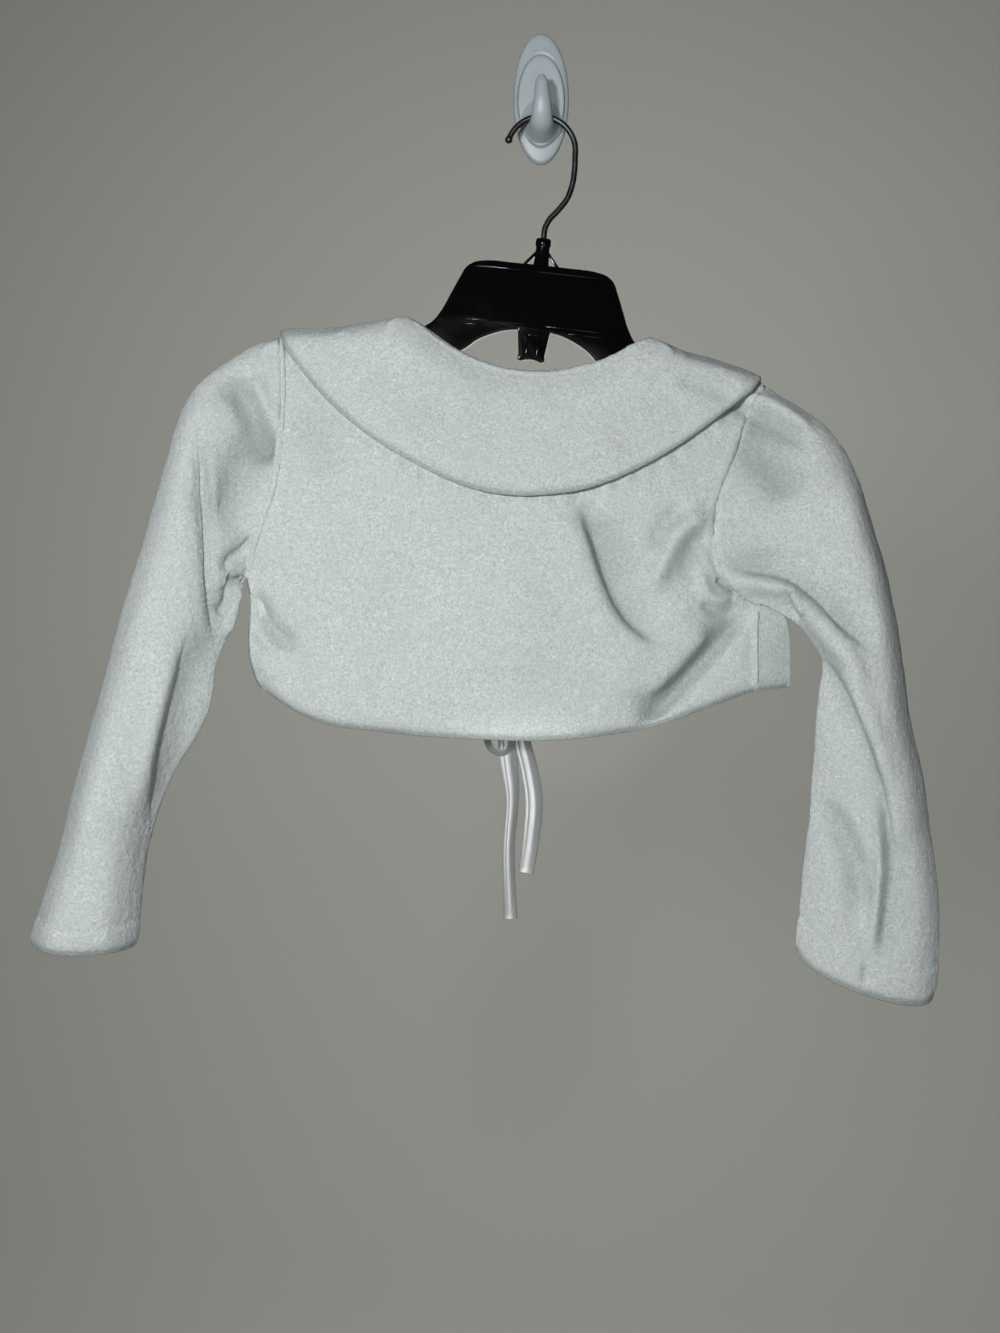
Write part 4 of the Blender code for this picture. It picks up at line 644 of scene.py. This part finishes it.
def make_fray(satin):
    """Loose threads at the torn right end of the tie."""
    mesh = bmesh.new()
    end = np.array(TIE_END_RIGHT[-1])
    run = unit(end - np.array(TIE_END_RIGHT[-2]))
    side = np.array((-run[1], run[0]))
    turn = 2 * math.pi * np.arange(5) / 5
    chance = np.random.default_rng(7)
    for place in np.linspace(-3.1, 3.1, 26):
        long = 0.6 + 2.0 * chance.random() ** 2
        bend = chance.normal(0.0, 0.45, 2)
        depth = TIE_END_Y + chance.normal(0.0, 0.35)
        rings = []
        for share in np.linspace(0.0, 1.0, 5):
            middle = end - 1.2 * run + side * place + run * (1.2 + long) * share + side * bend[0] * share**2
            thin = 0.10 * (1.0 - 0.6 * share)
            rings.append(np.stack((middle[0] + thin * np.cos(turn), depth + bend[1] * share**2 + thin * np.sin(turn),
                                   np.full(5, middle[1])), axis=1))
        sweep(mesh, rings)
    bmesh.ops.recalc_face_normals(mesh, faces=mesh.faces)
    return make_piece("tie_fray", mesh, satin)


def make_hanger(plastic):
    """The hanger: a flat plate with arms and tab, its raised lines, the socket and two gussets."""
    mesh = bmesh.new()
    outer = smooth_line(HANGER_OUTER, 150)
    tab = np.array(HANGER_TAB)
    half = [(x, -drop) for x, drop in np.vstack((outer, tab))]
    outline = half + [(-x, z) for x, z in reversed(half[1:-1])]
    plate(mesh, outline, HANGER_DEPTH)
    bmesh.ops.recalc_face_normals(mesh, faces=mesh.faces)
    rounded = [edge for edge in mesh.edges if edge.calc_face_angle() > 1.2 and abs(edge.verts[0].co.y
                                                                                 - edge.verts[1].co.y) < 0.1 * MM]
    bmesh.ops.bevel(mesh, geom=rounded, offset=HANGER_ROUND * MM, offset_type="OFFSET", affect="EDGES",
                    segments=3, profile=0.5, material=-1, clamp_overlap=True)

    ribs = bmesh.new()
    for left, top, right, foot, wide in HANGER_LINES + TAB_LINES:
        run = unit(np.array((right - left, top - foot)))
        side = np.array((-run[1], run[0])) * wide / 2
        start, end = np.array((left, -top)), np.array((right, -foot))
        plate(ribs, (start - side, end - side, end + side, start + side), HANGER_DEPTH + 2 * LINE_HIGH)
    for side in (-1.0, 1.0):
        plate(ribs, [(side * x, z) for x, z in GUSSET], GUSSET_DEPTH)
    bmesh.ops.recalc_face_normals(ribs, faces=ribs.faces)
    bmesh.ops.bevel(ribs, geom=ribs.edges, offset=0.28 * MM, offset_type="OFFSET", affect="EDGES", segments=2,
                    profile=0.5, material=-1, clamp_overlap=True)
    shelf = bpy.data.meshes.new("hanger_ribs")
    ribs.to_mesh(shelf)
    ribs.free()
    mesh.from_mesh(shelf)
    bpy.data.meshes.remove(shelf)

    turn = 2 * math.pi * np.arange(28) / 28
    rings = [np.stack((radius * np.cos(turn), radius * np.sin(turn), np.full(28, z)), axis=1)
             for radius, z in SOCKET]
    socket = bmesh.new()
    sweep(socket, rings)
    bmesh.ops.recalc_face_normals(socket, faces=socket.faces)
    shelf = bpy.data.meshes.new("hanger_socket")
    socket.to_mesh(shelf)
    socket.free()
    mesh.from_mesh(shelf)
    bpy.data.meshes.remove(shelf)

    bmesh.ops.rotate(mesh, cent=(0.0, 0.0, 0.0), verts=mesh.verts,
                     matrix=Matrix.Rotation(math.radians(HANGER_ROLL), 3, "Y"))
    bmesh.ops.translate(mesh, vec=Vector(HANGER_PLACE) * MM, verts=mesh.verts)
    return make_piece("moulded_hanger", mesh, plastic, ("hanger_body",), sharp=40)


def make_wire(steel):
    """The hanger's hook: bent wire with a rounded, thickened end."""
    angles = np.radians(np.linspace(*CROOK_ANGLES, 40))
    crook = np.stack((CROOK_CENTRE[0] + CROOK_RADIUS * np.cos(angles),
                      CROOK_CENTRE[1] + CROOK_RADIUS * np.sin(angles)), axis=1)
    line = np.vstack((crook, smooth_line(SHANK, 60)[1:]))
    reach = np.concatenate(([0.0], np.cumsum(np.linalg.norm(np.diff(line, axis=0), axis=1))))
    ball = np.array((0.08, 0.35, 0.8, 1.4, 2.0, 2.6, 3.1, 3.4))
    runs = np.concatenate((ball, reach[reach > 3.9]))
    line = np.stack([np.interp(runs, reach, line[:, axis]) for axis in (0, 1)], axis=1)
    along = unit(np.gradient(line, runs, axis=0))
    bulb = np.sqrt(np.clip(WIRE_BALL**2 - (runs - WIRE_BALL) ** 2, 0.0, None))
    radii = np.where(runs < WIRE_BALL, bulb, np.maximum(bulb, WIRE_RADIUS))
    turn = 2 * math.pi * np.arange(20) / 20
    rings = [np.stack((x - dz * radius * np.cos(turn), HANGER_PLACE[1] + radius * np.sin(turn),
                       z + dx * radius * np.cos(turn)), axis=1)
             for (x, z), (dx, dz), radius in zip(line, along, radii)]
    mesh = bmesh.new()
    sweep(mesh, rings)
    bmesh.ops.recalc_face_normals(mesh, faces=mesh.faces)
    return make_piece("hook_wire", mesh, steel, ("hanger_hook",), sharp=60)


def make_wall_hook(plastic):
    """The wall hook: an oval plate with a raised inner oval, and a prong that turns up."""
    mesh = bmesh.new()
    turn = 2 * math.pi * np.arange(96) / 96
    rings = [np.stack((wide * np.cos(turn), np.full(96, y), middle + high * np.sin(turn)), axis=1)
             for wide, high, y, middle in HOOK_RINGS]
    sweep(mesh, rings)
    bmesh.ops.recalc_face_normals(mesh, faces=mesh.faces)
    back = max(mesh.faces, key=lambda face: face.normal.y * face.calc_area())
    bmesh.ops.inset_region(mesh, faces=[back], thickness=0.6 * MM, use_even_offset=True)

    sections = smooth_line(PRONG, 60)
    turn = 2 * math.pi * np.arange(48) / 48
    rings = []
    for y, z, wide, thick, bent in sections:
        dy, dz = -math.cos(math.radians(bent)), math.sin(math.radians(bent))
        across, deep = wide * np.cos(turn), thick * np.sin(turn)
        rings.append(np.stack((across, y - dz * deep, z + dy * deep), axis=1))
    for share, shrink in ((0.45, 0.85), (0.8, 0.55), (0.95, 0.22)):
        across, deep = wide * shrink * np.cos(turn), thick * shrink * np.sin(turn)
        rings.append(np.stack((across, y + dy * share * thick - dz * deep, z + dz * share * thick + dy * deep),
                              axis=1))
    prong = bmesh.new()
    sweep(prong, rings)
    bmesh.ops.recalc_face_normals(prong, faces=prong.faces)
    shelf = bpy.data.meshes.new("hook_prong")
    prong.to_mesh(shelf)
    prong.free()
    mesh.from_mesh(shelf)
    bpy.data.meshes.remove(shelf)
    return make_piece("oval_wall_hook", mesh, plastic, ("wall_hook",), sharp=50)


def crosses_cloth(face, thickness):
    """Whether a face has an edge that runs straight through the cloth."""
    return any(abs(edge.calc_length() - thickness * MM) < 0.1 * MM for edge in face.edges)


def mark_seams(mesh, node):
    """Mark a rim as a seam where the next panel is sewn to it."""
    for other in CLOTH_NODES:
        if other == node:
            continue
        panel = bmesh.new()
        panel.from_mesh(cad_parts[other].data)
        tree = BVHTree.FromBMesh(panel)
        panel.free()
        for face in mesh.faces:
            if face.material_index == HEM and tree.find_nearest(face.calc_center_median(), SEAM_REACH * MM)[0]:
                face.material_index = SEAM


def number_faces(mesh):
    """Give each face of a cloth wall its kind: outer skin, inner skin or rim."""
    skin = set()
    for face in mesh.faces:
        face.material_index = HEM
        if not crosses_cloth(face, FLEECE):
            skin.add(face)
    middle = sum((vert.co for vert in mesh.verts), Vector()) / len(mesh.verts)
    while skin:
        patch, waiting = [], [skin.pop()]
        while waiting:
            face = waiting.pop()
            patch.append(face)
            for edge in face.edges:
                fresh = skin.intersection(edge.link_faces)
                skin -= fresh
                waiting += fresh
        out = sum(face.calc_area() * face.normal.dot(face.calc_center_median() - middle) for face in patch)
        for face in patch:
            face.material_index = HEM if len(patch) < 20 else OUTER if out > 0.0 else INNER


def number_collar(mesh):
    """Give each face of the collar its kind by which way it looks, because its skins join at the neck roll."""
    neck = Vector(NECK_MIDDLE) * MM
    for face in mesh.faces:
        place = face.calc_center_median()
        away = -1.0 if place.y < neck.y else 1.0
        face.material_index = OUTER if face.normal.y * away > 0.15 else INNER
        if crosses_cloth(face, COLLAR_CLOTH) and face.normal.dot(place - neck) > 0.0:
            face.material_index = HEM


def cloth_mesh(node, numbering, sharp_lines):
    """A finer, smooth copy of a cloth node, with its outer skin finer still and finest beside sharp creases."""
    mesh = bmesh.new()
    mesh.from_mesh(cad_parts[node].data)
    bmesh.ops.remove_doubles(mesh, verts=mesh.verts, dist=0.01 * MM)
    bmesh.ops.join_triangles(mesh, faces=mesh.faces, angle_face_threshold=math.radians(40.0),
                             angle_shape_threshold=math.radians(50.0))
    numbering(mesh)
    if numbering is number_faces:
        mark_seams(mesh, node)
    crease = mesh.edges.layers.float.new("crease_edge")
    for edge in mesh.edges:
        if [face.material_index for face in edge.link_faces].count(SEAM) == 1:
            edge[crease] = 1.0
    cage_mesh = bpy.data.meshes.new("cloth_cage")
    mesh.to_mesh(cage_mesh)
    mesh.free()
    cage = bpy.data.objects.new("cloth_cage", cage_mesh)
    bpy.context.scene.collection.objects.link(cage)
    finer = cage.modifiers.new("finer", "SUBSURF")
    finer.levels = 2
    finer.render_levels = 2
    graph = bpy.context.evaluated_depsgraph_get()
    fine = bpy.data.meshes.new_from_object(cage.evaluated_get(graph))
    mesh = bmesh.new()
    mesh.from_mesh(fine)
    bpy.data.objects.remove(cage)
    bpy.data.meshes.remove(cage_mesh)
    bpy.data.meshes.remove(fine)
    halve(mesh, [edge for edge in mesh.edges if any(face.material_index == OUTER for face in edge.link_faces)])
    middles = np.array([(edge.verts[0].co + edge.verts[1].co) / 2 for edge in mesh.edges]) / MM
    near = np.zeros(len(middles), bool)
    for line in sharp_lines:
        points = smooth_line(line, CREASE_STEPS)
        gaps = np.hypot(middles[:, :1] - points[:, 0], middles[:, 2:] - points[:, 1])
        near |= gaps.min(axis=1) < CREASE_REACH
    halve(mesh, [edge for edge, close in zip(mesh.edges, near)
                 if close and any(face.material_index == OUTER for face in edge.link_faces)
                 and sum((face.normal for face in edge.link_faces), Vector()).y < 0.0])
    mesh.normal_update()
    return mesh


def halve(mesh, edges):
    """Halve the edges, and even out the outer skin after it."""
    bmesh.ops.subdivide_edges(mesh, edges=edges, cuts=1, use_grid_fill=True)
    inside = [vert for vert in mesh.verts if all(face.material_index == OUTER for face in vert.link_faces)]
    for _ in range(2):
        bmesh.ops.smooth_vert(mesh, verts=inside, factor=0.5, use_axis_x=True, use_axis_y=True, use_axis_z=True)


def fold_depth(x, z, folds):
    """Depth in millimetres that a table of folds gives at each x, z."""
    depth = np.zeros(len(x))
    steps = 40
    for line, left, right, deep, shape in folds:
        points = smooth_line(line, steps)
        run = unit(np.gradient(points, axis=0))
        gaps = np.hypot(x[:, None] - points[:, 0], z[:, None] - points[:, 1])
        near = gaps.argmin(axis=1)
        side = (points[near, 0] - x) * run[near, 1] + (z - points[near, 1]) * run[near, 0]
        away = gaps.min(axis=1) / np.where(side > 0.0, right, left)
        drop = np.exp(-away**max(shape, 1.0))
        if shape == ROLLED:
            rolled = (side > 0.0) == (right < left)
            drop[rolled] = 1.0 - np.sqrt(1.0 - np.clip(1.0 - away[rolled], 0.0, 1.0) ** 2)
        end = np.clip(np.minimum(near, steps - near) / (0.22 * steps), 0.0, 1.0)
        depth += FOLD_GAIN * deep * end * end * (3 - 2 * end) * drop
    return depth


def uneven(places, size, seed):
    """Smooth noise at each place in millimetres, about -1 to 1, in swellings of the given size."""
    shift = Vector((seed * 17.3, seed * 5.1, seed * 11.7))
    return np.array([noise.noise(Vector(place) / size + shift) for place in places])


def rim_distance(mesh, kind):
    """Distance in millimetres of each vertex from the rims of a kind."""
    rims = [vert for vert in mesh.verts if any(face.material_index == kind for face in vert.link_faces)]
    tree = kdtree.KDTree(len(rims))
    for index, vert in enumerate(rims):
        tree.insert(vert.co, index)
    tree.balance()
    return np.array([tree.find(vert.co)[2] / MM if rims else FAR for vert in mesh.verts])


def nearest_edge(mesh, places, facing, reach):
    """Each vertex's distance as seen from where the cloth turns to its far side, that edge's y, and its hold."""
    tree = kdtree.KDTree(len(mesh.edges))
    for index, edge in enumerate(mesh.edges):
        first, last = edge.verts[0].index, edge.verts[1].index
        ahead, behind = facing[first, 1], facing[last, 1]
        if ahead * behind < 0.0 and edge.link_faces[0].material_index == OUTER:
            share = ahead / (ahead - behind)
            tree.insert(places[first] * (1.0 - share) + places[last] * share, index)
    tree.balance()
    gaps = np.full(len(places), FAR)
    middles = places[:, 1].copy()
    holds = np.zeros(len(places))
    for index, place in enumerate(places):
        found, edge, away = tree.find(place)
        if edge is not None and away < reach:
            gaps[index] = math.hypot(found.x - place[0], found.z - place[2])
            middles[index] = found.y
            holds[index] = min(1.0, (reach - away) / EDGE_FADE)
    return gaps, middles, holds


def out_of_cloth(mesh):
    """Direction out of the garment at each vertex of both skins and the rims."""
    ways = {}
    for vert in mesh.verts:
        skin = Vector()
        for face in vert.link_faces:
            if face.material_index == OUTER:
                skin += face.normal
            elif face.material_index == INNER:
                skin -= face.normal
        if skin.length > 0.01:
            ways[vert] = skin.normalized()
    while len(ways) < len(mesh.verts):
        known = dict(ways)
        for vert in mesh.verts:
            beside = [known[edge.other_vert(vert)] for edge in vert.link_edges if edge.other_vert(vert) in known]
            if vert not in known and beside:
                ways[vert] = sum(beside, Vector()).normalized()
    return np.array([ways[vert] for vert in mesh.verts])


def soften_corners(mesh, node):
    """Shift a panel where it stands away from its solid, round its corners, and roll its top edge over."""
    if node in ROLLED_NODES:
        edge = smooth_line(TOP_EDGE, 300)
        for vert in mesh.verts:
            x, z = vert.co.x / MM, vert.co.z / MM
            gap = np.hypot(edge[:, 0] - x, edge[:, 1] - z).min()
            if z > np.interp(x, edge[:, 0], edge[:, 1]):
                gap = 0.0
            if gap < TOP_ROLL:
                vert.co.y += TOP_ROLL * (1.0 - math.sqrt(1.0 - (1.0 - gap / TOP_ROLL) ** 2)) * MM
    for x, z, reach, right, far, up in SHIFTS.get(node, ()):
        for vert in mesh.verts:
            away = math.hypot(vert.co.x / MM - x, vert.co.z / MM - z) / reach
            vert.co += Vector((right, far, up)) * math.exp(-away * away) * MM
    for x, z, reach, passes in SOFT_CORNERS.get(node, ()):
        near = [vert for vert in mesh.verts if math.hypot(vert.co.x / MM - x, vert.co.z / MM - z) < reach]
        for _ in range(passes):
            bmesh.ops.smooth_vert(mesh, verts=near, factor=0.5, use_axis_x=True, use_axis_y=True,
                                  use_axis_z=True)
    mesh.normal_update()


def press_cloth(mesh, back_folds, front_folds, cuff, curled):
    """Press folds, seams, hems and unevenness into a cloth wall, both its skins alike, and set the painted shade
    that darkens its fold troughs and rims.
    """
    places = np.array([vert.co for vert in mesh.verts]) / MM
    kinds = [{face.material_index for face in vert.link_faces} for vert in mesh.verts]
    outer = np.array([OUTER in found for found in kinds])
    facing = out_of_cloth(mesh)
    back = np.clip(0.5 - 1.6 * facing[:, 1], 0.0, 1.0)
    depth = fold_depth(places[:, 0], places[:, 2], back_folds) * back
    depth += fold_depth(places[:, 0], places[:, 2], front_folds) * (1.0 - back)
    # Painted shade: darkness for the colour in the troughs of the folds, by their depth, and along the rims.
    troughs = [row for row in back_folds if row[3] > 0.0 and min(row[1], row[2]) < BROAD]
    hollow = fold_depth(places[:, 0], places[:, 2], troughs) * back
    rim = rim_distance(mesh, HEM)
    hollow = np.maximum(hollow / PAINTED_SHADE_FULL, RIM_PAINTED_SHADE * np.exp(-(rim / RIM_WIDE) ** 2))
    layer = mesh.verts.layers.float.new("hollow")
    for vert, painted_darkening in zip(mesh.verts, hollow):
        vert[layer] = min(1.0, painted_darkening)
    moved = -facing * depth[:, None]
    mesh.verts.index_update()
    gap, middle, hold = nearest_edge(mesh, places, facing, SLEEVE_REACH if cuff else EDGE_REACH)
    squeeze = (1.0 - EDGE_FULL) * hold * np.clip(1.0 - gap / EDGE_WIDE, 0.0, 1.0) ** 2.5
    moved[:, 1] += (middle - places[:, 1]) * squeeze
    curl = curled * np.clip(1.0 - rim / HEM_WIDE, 0.0, 1.0) ** 2
    moved[:, 1] += curl * np.clip(-3.0 * facing[:, 1], -0.3, 1.0)
    for vert, place in zip(mesh.verts, (places + moved) * MM):
        vert.co = place
    skin = [vert for vert, found in zip(mesh.verts, kinds) if found == {OUTER}]
    for _ in range(3):
        bmesh.ops.smooth_vert(mesh, verts=skin, factor=0.5, use_axis_x=True, use_axis_y=True, use_axis_z=True)
    mesh.normal_update()
    moved = np.zeros_like(places)
    places = np.array([vert.co for vert in mesh.verts]) / MM
    facing = out_of_cloth(mesh)
    swell = 0.55 * uneven(places, 34.0, 1) + 0.3 * uneven(places, 13.0, 2)
    gap = rim_distance(mesh, SEAM)
    swell *= np.clip(gap / 6.0, 0.15, 1.0)
    ridged = (places[:, 0] < LEFT_SEAM_X) | (places[:, 2] < UNDERARM_Z)
    swell += np.where(ridged, 0.8 * np.exp(-((gap - 0.4) / 1.2) ** 2), 0.45 * np.exp(-((gap - 2.0) / 1.5) ** 2))
    swell += 0.30 * uneven(places, 5.0, 3) * np.exp(-gap / 7.0) * np.clip(gap / 2.0, 0.0, 1.0)
    if cuff is not None:
        centre, axis = cuff
        up = (places - centre) @ axis
        swell += HEM_SWELL * np.clip((HEM_DEPTH - up) / 2.0, 0.0, 1.0) * np.clip(up / 2.0, 0.3, 1.0)
        swell -= 0.40 * np.exp(-((up - HEM_DEPTH) / 0.9) ** 2)
        swell += 0.35 * uneven(places, 7.0, 4) * np.exp(-((up - HEM_DEPTH) / 6.0) ** 2)
    tuft = (0.20 * uneven(places, 2.6, 5) + 0.16 * uneven(places, 1.5, 6)) * outer
    moved += facing * (swell + tuft)[:, None]
    for index, (vert, found) in enumerate(zip(mesh.verts, kinds)):
        if SEAM in found:
            rim = sum((face.normal for face in vert.link_faces if face.material_index == SEAM), Vector())
            moved[index] += SEAM_CLOSE * np.array(rim.normalized())
    for vert, place in zip(mesh.verts, (places + moved) * MM):
        vert.co = place
    mesh.normal_update()


def cuff_ring(mesh, low):
    """Centre of a sleeve's cuff edge and the direction up the sleeve."""
    rims = np.array([face.calc_center_median() for face in mesh.faces
                     if face.material_index == HEM and face.calc_center_median().z < low * MM]) / MM
    centre = rims.mean(axis=0)
    across = np.linalg.svd(rims - centre)[2][2]
    return centre, across if across[2] > 0 else -across


def make_stitches(name, mesh, cuff, thread):
    """The row of hem stitches round a cuff: short rounded threads sunk in their groove."""
    centre, axis = cuff
    cut = mesh.copy()
    inner = [face for face in cut.faces if face.material_index != OUTER]
    bmesh.ops.delete(cut, geom=inner, context="FACES")
    plane = Vector(centre + axis * HEM_DEPTH) * MM
    found = bmesh.ops.bisect_plane(cut, geom=cut.verts[:] + cut.edges[:] + cut.faces[:], dist=1e-7,
                                   plane_co=plane, plane_no=Vector(axis))["geom_cut"]
    edges = {item for item in found if isinstance(item, bmesh.types.BMEdge)}
    first = min(edges, key=lambda edge: edge.verts[0].co.x)
    loop = [first.verts[0], first.verts[1]]
    edges.discard(first)
    while True:
        step = [edge for edge in loop[-1].link_edges if edge in edges]
        if not step:
            break
        edges.discard(step[0])
        loop.append(step[0].other_vert(loop[-1]))
    line = np.array([vert.co for vert in loop]) / MM
    out = np.array([vert.normal for vert in loop])
    cut.free()
    reach = np.concatenate(([0.0], np.cumsum(np.linalg.norm(np.diff(line, axis=0), axis=1))))
    stitches = bmesh.new()
    turn = 2 * math.pi * np.arange(6) / 6
    for start in np.arange(0.0, reach[-1] - STITCH_PITCH, STITCH_PITCH):
        rings = []
        for share, thick, lift in ((0.0, 0.4, -0.25), (0.12, 1.0, 0.05), (0.5, 1.15, 0.15), (0.88, 1.0, 0.05),
                                   (1.0, 0.4, -0.25)):
            run = start + STITCH_LENGTH * share
            middle = np.array([np.interp(run, reach, line[:, axis_]) for axis_ in range(3)])
            up = unit(np.array([np.interp(run, reach, out[:, axis_]) for axis_ in range(3)]))
            side = np.array(axis)
            radius = STITCH_RADIUS * thick
            rings.append([middle + up * (lift + radius * math.sin(a)) + side * radius * math.cos(a) for a in turn])
        sweep(stitches, rings)
    bmesh.ops.recalc_face_normals(stitches, faces=stitches.faces)
    return make_piece(name, stitches, thread)


def seam_run(mesh, floor):
    """The longest run of seam edges beside the outer skin, below a height, as its vertices in order."""
    mesh.edges.index_update()
    edges = {edge for edge in mesh.edges if {face.material_index for face in edge.link_faces} == {OUTER, SEAM}
             and edge.verts[0].co.z < floor * MM}
    longest = []
    while edges:
        first = min(edges, key=lambda edge: edge.index)
        edges.discard(first)
        run = list(first.verts)
        for _ in range(2):
            step = [edge for edge in run[-1].link_edges if edge in edges]
            while step:
                edges.discard(step[0])
                run.append(step[0].other_vert(run[-1]))
                step = [edge for edge in run[-1].link_edges if edge in edges]
            run.reverse()
        if len(run) > len(longest):
            longest = run
    return longest


def make_bead(bead, mesh, fleece):
    """The roll of cloth that stands up along a seam."""
    name, floor, proud, right = bead
    run = seam_run(mesh, floor)
    line = np.array([vert.co for vert in run]) / MM
    out = np.array([sum((face.normal for face in vert.link_faces if face.material_index == OUTER), Vector())
                    for vert in run])
    reach = np.concatenate(([0.0], np.cumsum(np.linalg.norm(np.diff(line, axis=0), axis=1))))
    stops = np.linspace(0.0, reach[-1], int(reach[-1] / BEAD_STEP))
    line = np.stack([np.interp(stops, reach, line[:, axis]) for axis in range(3)], axis=1)
    out = np.stack([np.interp(stops, reach, out[:, axis]) for axis in range(3)], axis=1)
    for _ in range(3):
        line[1:-1] = (line[:-2] + 2 * line[1:-1] + line[2:]) / 4
        out[1:-1] = (out[:-2] + 2 * out[1:-1] + out[2:]) / 4
    out = unit(out)
    line[:, 0] += right
    line += (proud - BEAD_RADIUS) * out
    panels = [BVHTree.FromBMesh(mesh)]
    back = bmesh.new()
    back.from_mesh(bpy.data.objects["fleece_back"].data)
    panels.append(BVHTree.FromBMesh(back))
    back.free()
    for place, up in zip(line, out):
        start = Vector((place[0], -FAR, place[2])) * MM
        hits = [tree.ray_cast(start, Vector((0.0, 1.0, 0.0)))[0] for tree in panels]
        depths = [hit.y / MM for hit in hits if hit]
        hold = min(1.0, max(0.0, -2.0 * up[1] - 0.5))
        if depths:
            place[1] += hold * (min(depths) + BEAD_RADIUS - proud - place[1])
    for _ in range(3):
        line[1:-1] = (line[:-2] + 2 * line[1:-1] + line[2:]) / 4
    side = unit(np.cross(np.gradient(line, axis=0), out))
    turn = 2 * math.pi * np.arange(8) / 8
    thick = BEAD_RADIUS * (1.0 + 0.22 * uneven(line, 6.0, 8))
    thick *= np.clip(np.minimum(stops, reach[-1] - stops) / 5.0, 0.3, 1.0)
    rings = [[place + up * radius * math.cos(a) + aside * radius * math.sin(a) for a in turn]
             for place, up, aside, radius in zip(line, out, side, thick)]
    roll = bmesh.new()
    sweep(roll, rings)
    bmesh.ops.recalc_face_normals(roll, faces=roll.faces)
    return make_piece(name, roll, fleece)


def make_cloth(fleece):
    """All the sewn pieces of the jacket; the sizes and areas of the sheets they were cut from are listed in the rows
    but not used.
    """
    rows = (
        ("back", BACK_FOLDS, (), None, (0.300, 0.225), 0.0462),
        ("front_left", FRONT_LEFT_FOLDS, FRONT_LEFT_FOLDS, None, (0.150, 0.215), 0.0217),
        ("front_right", FRONT_RIGHT_FOLDS, FRONT_RIGHT_FOLDS, None, (0.150, 0.215), 0.0214),
        ("sleeve_left", SLEEVE_LEFT_FOLDS, SLEEVE_LEFT_FRONT_FOLDS, -400.0, (0.175, 0.320), 0.0393),
        ("sleeve_right", SLEEVE_RIGHT_FOLDS, SLEEVE_RIGHT_FRONT_FOLDS, -425.0, (0.175, 0.320), 0.0393),
        ("collar", COLLAR_FOLDS, (), None, (0.330, 0.250), 0.0292))
    for node, back_folds, front_folds, low, flat, area in rows:
        sharp_lines = [line for line, left, right, deep, shape in back_folds if shape < SOFT_SHAPE]
        mesh = cloth_mesh(node, number_collar if node == "collar" else number_faces, sharp_lines)
        cuff = cuff_ring(mesh, low) if low else None
        soften_corners(mesh, node)
        press_cloth(mesh, back_folds, front_folds, cuff, COLLAR_CURL if node == "collar" else HEM_CURL)
        if cuff:
            make_stitches("cuff_stitches_" + node[7:], mesh, cuff, fleece)
        if node in BEADS:
            make_bead(BEADS[node], mesh, fleece)
        for face in mesh.faces:
            face.material_index = 0
        cloth = make_piece("fleece_" + node, mesh, fleece, (node,))


set_stage()
ribbon_satin = woven_satin()
make_ties(ribbon_satin)
make_wall_hook(white_abs())
make_wire(drawn_steel())
make_hanger(black_polystyrene())
make_cloth(polyester_fleece())
